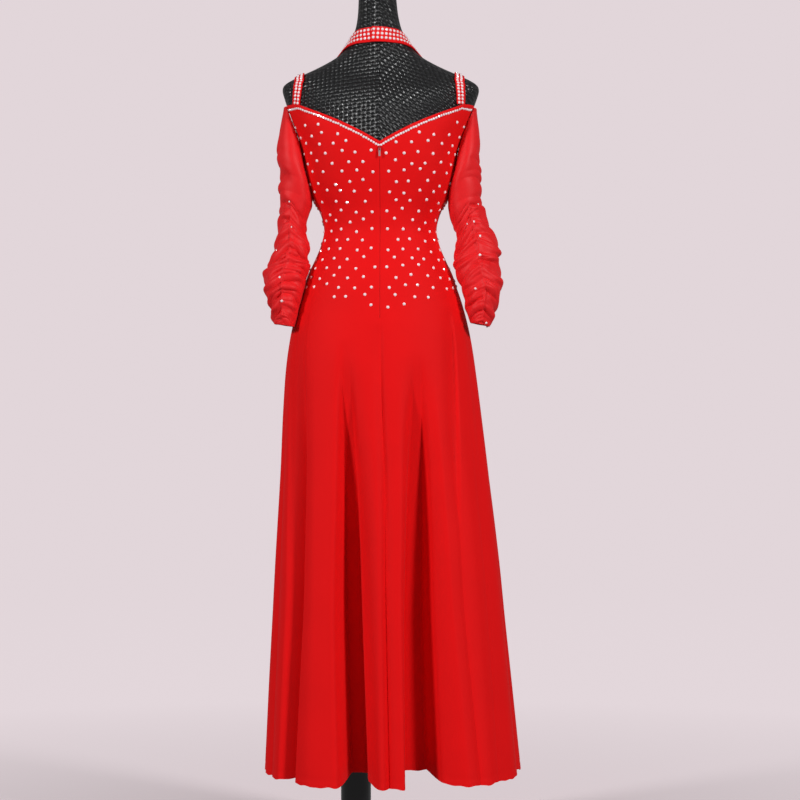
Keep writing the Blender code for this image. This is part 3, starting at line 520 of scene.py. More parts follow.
def fold_shape(angle, height):
    """Depth inside the section and tuck to the side, both in metres.

    The cloth is round on a ridge and keen in the bottom of a valley: a share u from a ridge to
    the next valley it has gone u ** keen of the way down, and a share u from a valley it has
    come 1 - (1 - u) ** keen of the way up. The tuck shares that wave, so that a valley's wall
    can lie under the ridge beside it.
    """
    angle, height = np.broadcast_arrays(angle, height)
    lines = fold_lines(height)
    lines = np.concatenate([lines, lines[..., :1] + 360.0], axis=-1)
    turned = lines[..., 0] + np.mod(angle - lines[..., 0], 360.0)
    cell = np.clip((turned[..., None] >= lines).sum(axis=-1) - 1, 0, len(FOLDS) - 1)
    low, high = (pick(lines, cell + i) for i in (0, 1))
    share = clamp((turned - low) / (high - low))
    keen = np.array([fold.keen for fold in FOLDS])[cell]
    after = (cell + 1) % len(FOLDS)
    depths, tucks = (fold_sizes(height, size) for size in ("depth", "tuck"))
    first, second = (pick(depths, i) for i in (cell, after))
    wave = np.where(second > first, share ** keen, 1.0 - (1.0 - share) ** keen)
    aside, aside_after = (pick(tucks, i) for i in (cell, after))
    return first + (second - first) * wave, aside + (aside_after - aside) * wave


# Creases high on the skirt, where the weight of the folds starts to pull: where each runs, its
# depth in millimetres, and how far it reaches to its left and to its right in metres.
Crease = namedtuple("Crease", "angle height to_angle to_height depth left right")
CREASES = [
    Crease(0.9, 1.000, 0.0, 0.620, 4.5, 0.020, 0.0022),
    Crease(53.0, 1.030, 38.2, 0.620, 5.5, 0.024, 0.0024),
    Crease(-53.0, 1.020, -47.5, 0.560, 6.0, 0.016, 0.0024),
    Crease(-66.0, 1.020, -58.0, 0.560, 3.5, 0.0024, 0.012),
    Crease(72.0, 0.990, 57.0, 0.560, 2.0, 0.012, 0.016),
    Crease(-22.0, 0.970, -22.5, 0.640, 4.0, 0.010, 0.020),
    Crease(133.0, 1.010, 137.0, 0.600, 4.5, 0.022, 0.0030),
    Crease(183.0, 0.990, 186.0, 0.600, 3.5, 0.018, 0.0040),
    Crease(229.0, 1.010, 231.5, 0.600, 4.5, 0.0030, 0.022),
]


def turned_from(line, angle):
    """Signed turn from a line to an angle, between -180 and 180 degrees."""
    return np.mod(angle - line + 180.0, 360.0) - 180.0


def crease_depth(angle, height):
    """Each crease is a trough with unlike sides, a bell curve each, faded at both ends."""
    depth = np.zeros(np.shape(height))
    around = profile("half_width", height)
    for crease in CREASES:
        share = (crease.height - height) / (crease.height - crease.to_height)
        line = crease.angle + (crease.to_angle - crease.angle) * clamp(share)
        away = np.radians(turned_from(line, angle)) * around
        side = np.where(away < 0.0, crease.left, crease.right)
        fade = np.sin(np.pi * clamp(share) ** 0.7) ** 0.8
        depth = depth + 0.001 * crease.depth * fade * bell(away, side)
    return depth


def seam_dip(angle, height):
    """A sewn seam draws the cloth in by a fifth of a millimetre along its line."""
    lines = fold_lines(height)
    dip = np.zeros(np.shape(height))
    reach = profile("back", height)
    for index, fold in enumerate(FOLDS):
        if fold.seam:
            away = np.radians(turned_from(lines[..., index], angle)) * reach
            dip = dip + 0.0002 * bell(away, 0.0030)
    return dip


def skirt_point(angle, height):
    """The section with its folds, creases and seams cut in."""
    angle, height = np.broadcast_arrays(angle, height)
    depth, tuck = fold_shape(angle, height)
    inside = depth + crease_depth(angle, height) + seam_dip(angle, height)
    aside = np.degrees(tuck / profile("half_width", height))
    return body_point(angle + aside, height, inside)


def basque_height(angle):
    """The bodice meets the skirt on a V, low at the centre back and centre front.

    It rises to the sides with the sine of the angle to the power 1.1.
    """
    turn = np.radians(angle)
    low = np.where(np.cos(turn) > 0, BASQUE_BACK, BASQUE_FRONT)
    return low + (BASQUE_SIDE - low) * np.abs(np.sin(turn)) ** 1.1


def crepe(name, colour, grain=2600.0):
    """Matt stretch crepe: a fine pebbled grain and a faint unevenness of the dye."""
    sheen = {"Sheen_Weight": 0.03, "Sheen_Roughness": 0.45}
    finish = Finish(name, Roughness=0.66, Specular_IOR_Level=0.07, **sheen)
    where, _ = finish.place()
    uneven = finish.noise(where, 14.0, 3.0)
    deep = tuple(0.90 * part for part in colour)
    finish.feed("Base Color", finish.mix(uneven, (*deep, 1.0), (*colour, 1.0)))
    pebbles = finish.noise(where, grain, 1.0)
    finish.feed("Normal", finish.bump(pebbles, 0.25, 0.0003))
    return finish.material


RED = (0.80, 0.0050, 0.0060)
red_crepe = crepe("red_crepe_cloth", RED)


def skirt_gore(first_seam, last_seam):
    """Points of a flared gore between two seams, its columns running down the fold lines.

    Fold lines, hem and top depend on each other, so that they are found in a few rounds. The
    hem is rippled by three sines, lifted in the valleys and at the sides, and stitched.
    """
    seams = [fold.seam for fold in FOLDS]
    first = seams.index(first_seam)
    last = seams.index(last_seam)
    if last < first:
        last += len(FOLDS)
    spans = last - first
    levels = np.concatenate([np.linspace(0.0, 0.02, 5), np.linspace(0.027, 1.0, 126)])
    level, share = np.meshgrid(levels, np.arange(spans * FOLD_STEPS + 1), indexing="ij")
    cell = np.minimum(share // FOLD_STEPS, spans - 1)
    part = share / FOLD_STEPS - cell
    index = (first + cell) % len(FOLDS)
    after = (first + cell + 1) % len(FOLDS)
    turns = 360.0 * ((first + cell) // len(FOLDS))
    turns_after = 360.0 * ((first + cell + 1) // len(FOLDS))
    height = HEM_HEIGHT + level * (BASQUE_SIDE - HEM_HEIGHT)
    for _ in range(4):
        lines = fold_lines(height)
        low = pick(lines, index) + turns
        high = pick(lines, after) + turns_after
        angle = low + (high - low) * part
        top = basque_height(angle) - 0.2 * SEAM
        turn = np.radians(angle)
        ripple = np.sin(23.0 * turn) + np.sin(37.0 * turn + 1.3) + np.sin(61.0 * turn + 0.4)
        hem = HEM_HEIGHT + VALLEY_LIFT * fold_shape(angle, HEM_HEIGHT)[0] + HEM_RIPPLE * ripple
        hem = hem + SIDE_LIFT * np.abs(np.sin(turn)) ** 4
        height = hem + level * (top - hem)
    overlap = np.degrees(0.3 * SEAM / profile("back", height))
    angle[:, 0] -= overlap[:, 0]
    angle[:, -1] += overlap[:, -1]
    turned_up = 0.0005 * bell(height - hem - HEM_STITCHES, 0.0012)
    return out_of(skirt_point, angle, height, -turned_up)


def flat_size(grid):
    """Width and length of a grid's cloth laid flat, and its area."""
    across = np.linalg.norm(np.diff(grid, axis=1), axis=-1).sum(axis=1)
    down = np.linalg.norm(np.diff(grid, axis=0), axis=-1).sum(axis=0)
    sides = np.cross(grid[1:, :-1] - grid[:-1, :-1], grid[:-1, 1:] - grid[:-1, :-1])
    return float(across.max()), float(down.max()), float(np.linalg.norm(sides, axis=-1).sum())


def hang_cloth(piece, grid, held, *rests_on):
    """Measure a piece's grid laid flat: its width, length and area, which are not kept."""
    width, length, area = flat_size(grid)


GORES = {
    "skirt_back_left": ("back_left", "centre_back"),
    "skirt_back_right": ("centre_back", "back_right"),
    "skirt_side_right": ("back_right", "front_right"),
    "skirt_front": ("front_right", "front_left"),
    "skirt_side_left": ("front_left", "back_left"),
}
for node, seams in GORES.items():
    points = skirt_gore(*seams)
    gore = grid_mesh(node.replace("skirt", "gore"), points, wall=CLOTH)
    dress_up(gore, red_crepe, "red_crepe", node)
    hang_cloth(gore, points, "hung", "form_body")


# The bodice
# Fitted stretch crepe: two back panels joined by a concealed zip, and one front panel. It ends
# at the straight V neckline and at the armholes, where the sleeves take over.
NECK_V_BACK = 1.3406      # lowest points of the neckline
NECK_V_FRONT = 1.335
NECK_SIDE = 1.4150        # the neckline between strap and armhole
CORNER_X = 0.1765         # where the neckline ends at the armhole
CORNER_ANGLE = 72.0
STRAP_X = 0.152           # where it bends, at the strap
Armhole = namedtuple("Armhole", "height half_angle")
ARMHOLE = [
    Armhole(1.2000, 0.0),
    Armhole(1.2795, 0.0),
    Armhole(1.2950, 8.0),
    Armhole(1.3230, 14.0),
    Armhole(1.3520, 17.5),
    Armhole(1.3850, 19.0),
    Armhole(1.4300, 17.0),
]


def neck_height(share, lowest):
    """Neckline: straight from the V up to the strap, level from there to the armhole."""
    corner = math.radians(CORNER_ANGLE)
    across = CORNER_X * np.sin(corner * share) / math.sin(corner)
    rise = clamp(np.abs(across) / STRAP_X)
    return lowest + (NECK_SIDE - lowest) * rise


def side_edge(height):
    """How far round, in degrees from its own centre line, a bodice panel reaches."""
    return 90.0 - smooth(ARMHOLE, "half_angle", height)


# Soft drag lines of the fitted cloth: where each starts and ends, and its depth in millimetres.
Drag = namedtuple("Drag", "angle height to_angle to_height depth width")
DRAGS = [
    Drag(-78, 1.176, -38, 1.168, 0.9, 0.007),
    Drag(-84, 1.196, -50, 1.200, 0.6, 0.006),
    Drag(-80, 1.150, -52, 1.142, 0.7, 0.007),
    Drag(76, 1.182, 34, 1.172, 0.8, 0.007),
    Drag(84, 1.160, 48, 1.150, 0.7, 0.006),
    Drag(82, 1.205, 56, 1.212, 0.6, 0.006),
    Drag(-30, 1.128, -8, 1.120, 0.5, 0.008),
    Drag(10, 1.126, 30, 1.134, 0.5, 0.008),
    Drag(98, 1.178, 134, 1.170, 0.8, 0.007),
    Drag(100, 1.200, 128, 1.206, 0.6, 0.006),
    Drag(262, 1.180, 226, 1.172, 0.8, 0.007),
    Drag(258, 1.158, 230, 1.150, 0.6, 0.006),
]


def drag_depth(angle, height):
    """Each drag line is a shallow trough round a line across the panel, faded at its ends."""
    depth = np.zeros(np.shape(height))
    for drag in DRAGS:
        for turn in (0.0, 360.0, -360.0):
            share = (angle + turn - drag.angle) / (drag.to_angle - drag.angle)
            middle = drag.height + (drag.to_height - drag.height) * share
            inside = clamp(share)
            fade = np.sin(np.pi * inside) ** 0.7
            depth = depth + 0.001 * drag.depth * fade * bell(height - middle, drag.width)
    return depth


def zip_dip(angle, height):
    """The concealed zip: its two folded edges stand up and meet in a fine groove."""
    across = np.abs(np.radians(turned_from(0.0, angle))) * profile("back", height)
    groove = 0.0007 * bell(across, 0.0008)
    lips = 0.0003 * bell(across - 0.0030, 0.0018)
    return groove - lips


def bodice_point(angle, height):
    """The section with drag lines and the zip's groove."""
    angle, height = np.broadcast_arrays(angle, height)
    return body_point(angle, height, drag_depth(angle, height) + zip_dip(angle, height))


def bodice_half(centre, turn, lowest):
    """Angles and heights of half a bodice, its columns from the centre line to the side."""
    shares = np.concatenate([np.linspace(0.0, 0.1, 13), np.linspace(0.115, 1.0, 60)])
    level, share = np.meshgrid(np.linspace(0.0, 1.0, 120), shares, indexing="ij")
    bottom = basque_height(centre + turn * 90.0 * share)
    height = bottom + level * (neck_height(share, lowest) - bottom)
    gap = np.degrees(0.5 * SEAM / profile("back", height))
    angle = centre + turn * share * (side_edge(height) - gap)
    if centre == 0.0:
        angle = angle + turn * gap * (1.0 - share)
    return angle, height


def bodice_panel(name, node, angle, height):
    """A panel, its seam edges drawn in a little where they are sewn."""
    sewn = height - basque_height(angle)
    side = np.abs(np.mod(angle, 180.0) - 90.0)
    dip = 0.0001 * bell(sewn, 0.004)
    dip = dip + 0.0003 * bell(side, 1.2) * (height < ARMHOLE[1].height)
    points = out_of(bodice_point, angle, height, -dip)
    panel = grid_mesh(name, points, wall=CLOTH)
    dress_up(panel, red_crepe, "red_crepe", node)
    hang_cloth(panel, points, "stretched", "form_body")


left_angle, left_height = bodice_half(0.0, -1.0, NECK_V_BACK)
right_angle, right_height = bodice_half(0.0, 1.0, NECK_V_BACK)
bodice_panel("panel_back_left", "back_bodice_left", left_angle[:, ::-1], left_height[:, ::-1])
bodice_panel("panel_back_right", "back_bodice_right", right_angle, right_height)
right_angle, right_height = bodice_half(180.0, -1.0, NECK_V_FRONT)
left_angle, left_height = bodice_half(180.0, 1.0, NECK_V_FRONT)
front_angle = np.concatenate([right_angle[:, ::-1], left_angle[:, 1:]], axis=1)
front_height = np.concatenate([right_height[:, ::-1], left_height[:, 1:]], axis=1)
bodice_panel("panel_front", "front_bodice", front_angle, front_height)


# Rhinestones
# Flat-backed crystals glued on the cloth: an eight-sided girdle, a crown of triangles and a
# table. Each group is one joined mesh, its stones turned by a seeded draw.
STONE_SIDES = 8
STONE_TABLE = 0.52        # the table's radius as a share of the girdle's
STONE_RISE = 0.58         # height of the table, as a share of the girdle's radius
draw = np.random.default_rng(7)


def crystal():
    """Foiled crystal: pale and glossy, a little rosy, no two quite alike."""
    gloss = {"Coat_Weight": 0.8, "Specular_IOR_Level": 0.9}
    finish = Finish("crystal", Roughness=0.10, Metallic=0.08, **gloss)
    where, _ = finish.place()
    clear = (1.0, 0.96, 0.97, 1.0)
    rosy = (1.0, 0.74, 0.79, 1.0)
    finish.feed("Base Color", finish.mix(finish.noise(where, 190.0), clear, rosy))
    return finish.material


crystal_finish = crystal()


def set_stones(name, places, normals, radius, carrier_slot):
    """Joined mesh of stones that stand on their places, facing along the normals."""
    count = len(places)
    ring = np.arange(STONE_SIDES) * 2.0 * np.pi / STONE_SIDES
    half = np.pi / STONE_SIDES
    foot = np.stack([np.cos(ring), np.sin(ring), np.full(STONE_SIDES, -0.10)], axis=-1)
    girdle = foot + [0.0, 0.0, 0.24]
    table = np.stack([STONE_TABLE * np.cos(ring + half), STONE_TABLE * np.sin(ring + half),
                      np.full(STONE_SIDES, STONE_RISE)], axis=-1)
    stone = np.concatenate([foot, girdle, table])
    turn = draw.uniform(0.0, 2.0 * np.pi, count)
    tilt = draw.normal(0.0, 0.05, (count, 3))
    up = unit(normals + tilt)
    level = unit(np.cross(up, [0.0, 0.0, 1.0]))
    other = np.cross(up, level)
    cos = np.cos(turn)[:, None]
    sin = np.sin(turn)[:, None]
    axes = np.stack([level * cos + other * sin, other * cos - level * sin, up], axis=1)
    points = places[:, None] + radius * (stone @ axes)
    n = STONE_SIDES
    faces = [list(range(n))[::-1], list(range(2 * n, 3 * n))]
    for i in range(n):
        j = (i + 1) % n
        faces.append([i, j, n + j, n + i])
        faces.append([n + i, n + j, 2 * n + i])
        faces.append([n + j, 2 * n + j, 2 * n + i])
    every = []
    for index in range(count):
        base = index * 3 * n
        every.extend([[base + corner for corner in face] for face in faces])
    mesh = bpy.data.meshes.new(name)
    mesh.from_pydata(points.reshape(-1, 3).tolist(), [], every)
    mesh.update()
    stones = bpy.data.objects.new(name, mesh)
    bpy.context.scene.collection.objects.link(stones)
    dress_up(stones, crystal_finish, carrier_slot)


def facing(surface, angle, height):
    """Unit normals of a surface."""
    return (out_of(surface, angle, height, 0.001) - surface(angle, height)) / 0.001


def lengths_along(points):
    """How far along a line each of its points lies."""
    return np.concatenate([[0.0], np.linalg.norm(np.diff(points, axis=0), axis=-1).cumsum()])


def even_steps(points, pitch):
    """Positions along a line of points, as fractional indices, one pitch apart."""
    length = lengths_along(points)
    count = max(int(round(length[-1] / pitch)), 1)
    marks = (np.arange(count) + 0.5) / count * length[-1]
    return np.interp(marks, length, np.arange(len(points)))


BODICE_STONE = 0.0030
STONE_ROW = 0.0178
STONE_STEP = 0.0300
STONE_STRAY = 0.0026      # how far a stone strays from its place in the lattice
ZIP_CLEAR = 0.0055        # no stone is nearer to the centre line than this


def scatter_on_bodice(centre, lowest):
    """Angles and heights of a jittered diagonal lattice over one face of the bodice.

    Stones of a row stand one step apart along the cloth, and every other row half a step on.
    """
    turn = np.linspace(-90.0, 90.0, 181)
    middle = len(turn) // 2
    found = []
    for number, level in enumerate(np.arange(1.02, 1.42, STONE_ROW)):
        length = lengths_along(body_point(centre + turn, np.full(turn.shape, level)))
        marks = length[middle] + STONE_STEP * (np.arange(-9, 10) + 0.5 * (number % 2))
        marks = marks + draw.normal(0.0, STONE_STRAY, marks.shape)
        marks = marks[(marks > 0.0) & (marks < length[-1])]
        found.extend((place, level) for place in np.interp(marks, length, turn))
    found = np.array(found)
    side = found[:, 0]
    height = found[:, 1] + draw.normal(0.0, STONE_STRAY, len(found))
    neck = neck_height(np.abs(side) / 90.0, lowest)
    inside = (height > basque_height(centre + side) + 0.008) & (height < neck - 0.013)
    inside &= np.abs(side) < side_edge(height) - 2.0
    inside &= np.radians(np.abs(side)) * profile("half_width", height) > ZIP_CLEAR
    return (centre + side)[inside], height[inside]


def stones_on_bodice(name, angle, height):
    """Bodice stones at given angles and heights."""
    normals = facing(bodice_point, angle, height)
    set_stones(name, bodice_point(angle, height), normals, BODICE_STONE, "red_crepe")


stones_on_bodice("stones_back_bodice", *scatter_on_bodice(0.0, NECK_V_BACK))
stones_on_bodice("stones_front_bodice", *scatter_on_bodice(180.0, NECK_V_FRONT))

# Stones set close in two columns down the front panel's side edges, from under the arm.
edge_height = np.concatenate([np.linspace(1.276, 1.225, 10), np.linspace(1.272, 1.236, 7)])
edge_angle = np.concatenate([np.full(10, 94.0), np.full(7, 98.5)])
both_edges = np.concatenate([edge_angle, 360.0 - edge_angle])
stones_on_bodice("stones_side_edges", both_edges, np.tile(edge_height, 2))


# Neckline bindings
# A narrow strip of the same crepe folded over the neckline's edge and sewn down on both faces,
# with a close row of stones under it.
BINDING_WIDTH = 0.0050
BINDING_INSIDE = 0.0040
BINDING_CLOTH = 0.0006
BINDING_STONE = 0.0025
BINDING_PITCH = 0.0053
BINDING_ROW = 0.0022      # the stones' centres lie this far below the strip's edge
red_trim = crepe("red_trim_cloth", (0.78, 0.007, 0.009), 1800.0)
shares = np.linspace(-1.0, 1.0, 181)
outer_face = SEAM + BINDING_CLOTH + 0.0002
inner_face = -CLOTH - SEAM
over_edge = 0.5 * (outer_face - inner_face)
fold_turn = np.linspace(0.0, math.pi, 9)
fold_lift = 0.5 * (outer_face + inner_face) + over_edge * np.cos(fold_turn)
fold_rise = over_edge * np.sin(fold_turn) + 0.0002
crowned = outer_face + 0.0004 * np.sin(np.linspace(0.0, math.pi, 6))
binding_lift = np.concatenate([crowned, fold_lift, [inner_face] * 3])
down_inside = np.linspace(0.0, -BINDING_INSIDE, 4)[1:]
binding_rise = np.concatenate([np.linspace(-BINDING_WIDTH, 0.0, 6), fold_rise, down_inside])
BINDINGS = [
    ("neckline_binding_back", 0.0, NECK_V_BACK, "panel_back_left"),
    ("neckline_binding_front", 180.0, NECK_V_FRONT, "panel_front"),
]
for node, centre, lowest, sewn_to in BINDINGS:
    height = neck_height(np.abs(shares), lowest) + binding_rise[:, None]
    angle = centre + shares * (side_edge(np.minimum(height, NECK_SIDE)) - 0.3)
    points = out_of(body_point, angle, height, binding_lift[:, None] * np.ones(shares.shape))
    binding = grid_mesh(node.replace("neckline_", ""), points, wall=BINDING_CLOTH)
    dress_up(binding, red_trim, "red_trim", node)
    hang_cloth(binding, points, "folded", sewn_to)
    row_height = neck_height(np.abs(shares), lowest) - BINDING_WIDTH - BINDING_ROW
    row_angle = centre + shares * (side_edge(row_height) - 1.5)
    marks = even_steps(body_point(row_angle, row_height), BINDING_PITCH)
    angle = np.interp(marks, np.arange(len(shares)), row_angle)
    height = np.interp(marks, np.arange(len(shares)), row_height)
    height = height + draw.normal(0.0, 0.0004, height.shape)
    places = out_of(body_point, angle, height, 0.0004 * np.ones(angle.shape))
    normals = facing(body_point, angle, height)
    set_stones("stones_" + node, places, normals, BINDING_STONE, "red_trim")


# Straps
# Narrow doubled strips that stand on the back neckline and go over the shoulders to the front
# one. Two columns of stones cover them, with a plain edge towards the neck.
STRAP_WIDTH = 0.0195
STRAP_CROWN = 0.0004
STRAP_STONE = 0.0028
STRAP_PITCH = 0.0068
STRAP_COLUMNS = (0.0052, -0.0024)


def route_points(angle, height, offset, lift):
    """Points beside a route on the body: offset is measured across it on the surface.

    The side step is the one at right angles to the route, by the surface's own measure.
    """
    small = 0.0008
    by_angle = body_point(angle + STEP_ANGLE, height) - body_point(angle - STEP_ANGLE, height)
    by_angle = by_angle / (2.0 * STEP_ANGLE)
    by_height = body_point(angle, height + small) - body_point(angle, height - small)
    by_height = by_height / (2.0 * small)
    go_angle = np.gradient(angle)
    go_height = np.gradient(height)
    e = (by_angle * by_angle).sum(-1)
    f = (by_angle * by_height).sum(-1)
    g = (by_height * by_height).sum(-1)
    side_angle = -(f * go_angle + g * go_height)
    side_height = e * go_angle + f * go_height
    size = np.sqrt(e * side_angle ** 2 + 2.0 * f * side_angle * side_height + g * side_height ** 2)
    angles = angle + offset * side_angle / size
    heights = height + offset * side_height / size
    return out_of(body_point, angles, heights, np.broadcast_to(lift, angles.shape))


def strip(name, node, angle, height, width, lift, crown):
    """Band along a route, slightly crowned across, its edges rounded down.

    The crown falls off with the fourth power of the distance from the band's middle.
    """
    offset = np.linspace(-0.5, 0.5, 13)[:, None]
    raised = lift + crown * (1.0 - (2.0 * np.abs(offset)) ** 4)
    points = route_points(angle, height, offset * width, raised)
    band = grid_mesh(name, points, wall=CLOTH)
    dress_up(band, red_trim, "red_trim", node)
    hang_cloth(band, points, "stretched", "form_body")


def stones_along(name, angle, height, lift, rows, pitch, radius):
    """Rows of stones beside a route, each row with its own even steps."""
    places = []
    normals = []
    steps = np.arange(len(angle))
    for offset in rows:
        line = route_points(angle, height, np.full(angle.shape, offset), lift)
        raised = route_points(angle, height, np.full(angle.shape, offset), lift + 0.001)
        marks = even_steps(line, pitch)
        place = np.stack([np.interp(marks, steps, line[:, i]) for i in range(3)], axis=-1)
        above = np.stack([np.interp(marks, steps, raised[:, i]) for i in range(3)], axis=-1)
        places.append(place)
        normals.append((above - place) / 0.001)
    set_stones(name, np.concatenate(places), np.concatenate(normals), radius, "red_trim")


def strap_route(top, foot):
    """Angles and heights from the back neckline over the crest of the shoulder to the front.

    The line stands its foot's distance from the middle below and its top's distance above.
    """
    shoulder = np.linspace(1.45, 1.50, 501)
    crest = shoulder[np.argmin(np.abs(smooth(BODY, "half_width", shoulder) - top))]
    turn = np.linspace(0.0, math.pi, 121)
    lowest = NECK_SIDE + SEAM + 0.0002
    height = lowest + (crest - lowest) * np.sin(turn) ** 0.8
    from_middle = foot + (top - foot) * np.sin(turn)
    reach = np.minimum(from_middle / smooth(BODY, "half_width", height), 0.9995)
    power = smooth(BODY, "square", height)
    depth = (1.0 - reach ** power) ** (1.0 / power)
    return np.degrees(np.arctan2(reach, depth * np.where(turn > 0.5 * math.pi, -1.0, 1.0))), height


STRAPS = [("strap_left", -1.0, 0.154, 0.159), ("strap_right", 1.0, 0.150, 0.152)]
for node, side, top, foot in STRAPS:
    angle, height = strap_route(top, foot)
    angle = side * angle
    strip("shoulder_" + node, node, angle, height, STRAP_WIDTH, 0.0, STRAP_CROWN)
    columns = [side * offset for offset in STRAP_COLUMNS]
    stones_along("stones_" + node, angle, height, STRAP_CROWN, columns, STRAP_PITCH, STRAP_STONE)


# Neckband
# Two stiff arms, covered in stones in three rows, that lie round the neck and run down to the
# front neckline. They overlap at the centre back, the right arm on top, and hook together.
BandPoint = namedtuple("BandPoint", "step angle height")
NECKBAND = [
    BandPoint(0.00, 0, 1.5490),
    BandPoint(0.18, 40, 1.5470),
    BandPoint(0.36, 84, 1.5370),
    BandPoint(0.52, 118, 1.5130),
    BandPoint(0.64, 138, 1.4820),
    BandPoint(0.76, 150, 1.4430),
    BandPoint(0.88, 157, 1.4000),
    BandPoint(1.00, 160, 1.3640),
]
BAND_WIDTH = 0.029
BAND_CROWN = 0.0003
BAND_LAP_LIFT = 0.0020    # the right arm lies on the left one
BAND_END_LIFT = 0.0036    # and both lie on the front neckline's binding
BAND_ROWS = (-0.0068, 0.0012, 0.0092)
BAND_PITCH = 0.0082
BAND_STONE = 0.0028
nape = NECKBAND[1]
steps = np.linspace(0.0, 1.0, 201)
for node, side, lap in (("neckband_right", 1.0, 14.0), ("neckband_left", -1.0, 10.0)):
    angle = smooth(NECKBAND, "angle", steps)
    height = smooth(NECKBAND, "height", steps)
    angle = np.where(steps < nape.step, (nape.angle + lap) * steps / nape.step - lap, angle)
    lift = BAND_END_LIFT * clamp((steps - 0.76) / 0.12)
    if side > 0:
        lift = lift + BAND_LAP_LIFT * clamp((26.0 - angle) / 14.0)
    angle = side * angle
    strip(node.replace("neckband", "band"), node, angle, height, BAND_WIDTH, lift, BAND_CROWN)
    lift = lift + BAND_CROWN
    rows = [side * offset for offset in BAND_ROWS]
    stones_along("stones_" + node, angle, height, lift, rows, BAND_PITCH, BAND_STONE)


# Sleeves
# Tubes of sheer stretch mesh, far longer than the arm and gathered along a line down their
# back, so that they fall in close ruches. They are sewn into the armholes off the shoulder.

# A row is a ring, from armhole to cuff: how far out its inner edge lies and how high, and the
# same of its outer edge. Both sleeves share half its depth, and how far back its middle lies.
Ring = namedtuple("Ring", "number inner inner_z outer outer_z half_depth back")
SLEEVES = {
    "sleeve_left": (-1.0, [
        (0.1425, 1.2795, 0.1820, 1.4154),
        (0.1350, 1.2720, 0.1890, 1.3860),
        (0.1310, 1.2605, 0.1919, 1.3555),
        (0.1290, 1.2450, 0.1957, 1.3230),
        (0.1290, 1.2300, 0.1880, 1.2910),
        (0.1350, 1.2130, 0.1920, 1.2640),
        (0.1406, 1.1960, 0.1870, 1.2360),
        (0.1416, 1.1730, 0.1890, 1.2000),
        (0.1330, 1.1500, 0.1940, 1.1600),
        (0.1380, 1.1275, 0.2040, 1.1256),
        (0.1330, 1.1130, 0.2165, 1.0970),
        (0.1390, 1.0900, 0.2155, 1.0740),
        (0.1460, 1.0600, 0.2105, 1.0500),
        (0.1550, 1.0270, 0.2030, 1.0230),
        (0.1615, 0.9990, 0.1986, 1.0050),
    ]),
    "sleeve_right": (1.0, [
        (0.1425, 1.2795, 0.1835, 1.4130),
        (0.1350, 1.2720, 0.1880, 1.3860),
        (0.1310, 1.2610, 0.1890, 1.3555),
        (0.1300, 1.2470, 0.1880, 1.3210),
        (0.1300, 1.2300, 0.1920, 1.2930),
        (0.1330, 1.2100, 0.1920, 1.2660),
        (0.1406, 1.1900, 0.1900, 1.2400),
        (0.1480, 1.1690, 0.1960, 1.2150),
        (0.1430, 1.1465, 0.2110, 1.1800),
        (0.1410, 1.1220, 0.2240, 1.1440),
        (0.1463, 1.0970, 0.2210, 1.1170),
        (0.1560, 1.0730, 0.2290, 1.0820),
        (0.1615, 1.0480, 0.2210, 1.0500),
        (0.1655, 1.0260, 0.2140, 1.0230),
        (0.1720, 1.0070, 0.2060, 1.0000),
    ]),
}
SLEEVE_DEPTHS = [
    (0.041, 0.000), (0.045, 0.012), (0.044, 0.018), (0.041, 0.020), (0.038, 0.020),
    (0.036, 0.020), (0.035, 0.017), (0.034, 0.022), (0.034, 0.028), (0.035, 0.034),
    (0.036, 0.038), (0.035, 0.042), (0.033, 0.045), (0.028, 0.047), (0.024, 0.048),
]
MESH_CLOTH = 0.0012
ARMHOLE_CLEAR = 0.0020    # from the bodice to the sleeve where it is sewn on
UNDERARM_LIFT = 0.0020    # the sewn edge lies this far above the bodice's underarm
ARMHOLE_LAP = 1.3         # and laps over the bodice's edge by this many degrees
HANG_CLEAR = 0.0042       # from the body to the sleeve where it hangs beside it
TOP_EDGE = math.radians(38.0)    # half of the sleeve's free top edge, as a turn round it
RUCHES = 15.0             # large ruches down each sleeve
RUCHE_HEIGHT = 0.0030
GATHER_LINE = math.radians(276.0)    # where it runs, as a turn from the outer edge
RUCHES_FROM = 0.36        # they set in here, as a share of the sleeve's length
RUCHES_OVER = 0.16
GATHERS = 26              # small gathers that leave the gather line on each side
GATHERS_FROM = 0.37       # the first and the length that they take up, as such shares
GATHERS_OVER = 0.62
GATHER_DIP = 0.0022       # how deep the gathering thread draws the cloth in
SLEEVE_ROWS = 420
SLEEVE_COLUMNS = 112

# Soft folds of the upper arm, on the left (-1) and the right sleeve: where the tip stands on the
# outer edge as a share of the sleeve's length, how far up it climbs towards the body, and its
# height and width.
Tip = namedtuple("Tip", "side place climb height width")
TIPS = [
    Tip(-1, 0.135, 0.045, 0.0022, 0.020),
    Tip(-1, 0.215, 0.075, 0.0056, 0.016),
    Tip(-1, 0.270, 0.060, 0.0020, 0.012),
    Tip(-1, 0.335, 0.070, 0.0062, 0.015),
    Tip(-1, 0.400, 0.050, 0.0034, 0.012),
    Tip(-1, 0.450, 0.040, 0.0030, 0.010),
    Tip(1, 0.140, 0.045, 0.0020, 0.020),
    Tip(1, 0.205, 0.060, 0.0028, 0.014),
    Tip(1, 0.255, 0.070, 0.0050, 0.013),
    Tip(1, 0.300, 0.060, 0.0034, 0.010),
    Tip(1, 0.350, 0.070, 0.0060, 0.014),
    Tip(1, 0.425, 0.045, 0.0036, 0.012),
]


def body_side(side, y, z):
    """How far out the dressed body reaches at a depth and height: its superellipse for x."""
    half_width, back, front, power, shift = section(z)
    reach = np.where(y < 0, back, front)
    inside = clamp(1.0 - np.abs(y / reach) ** power)
    return half_width * inside ** (1.0 / power) + side * shift


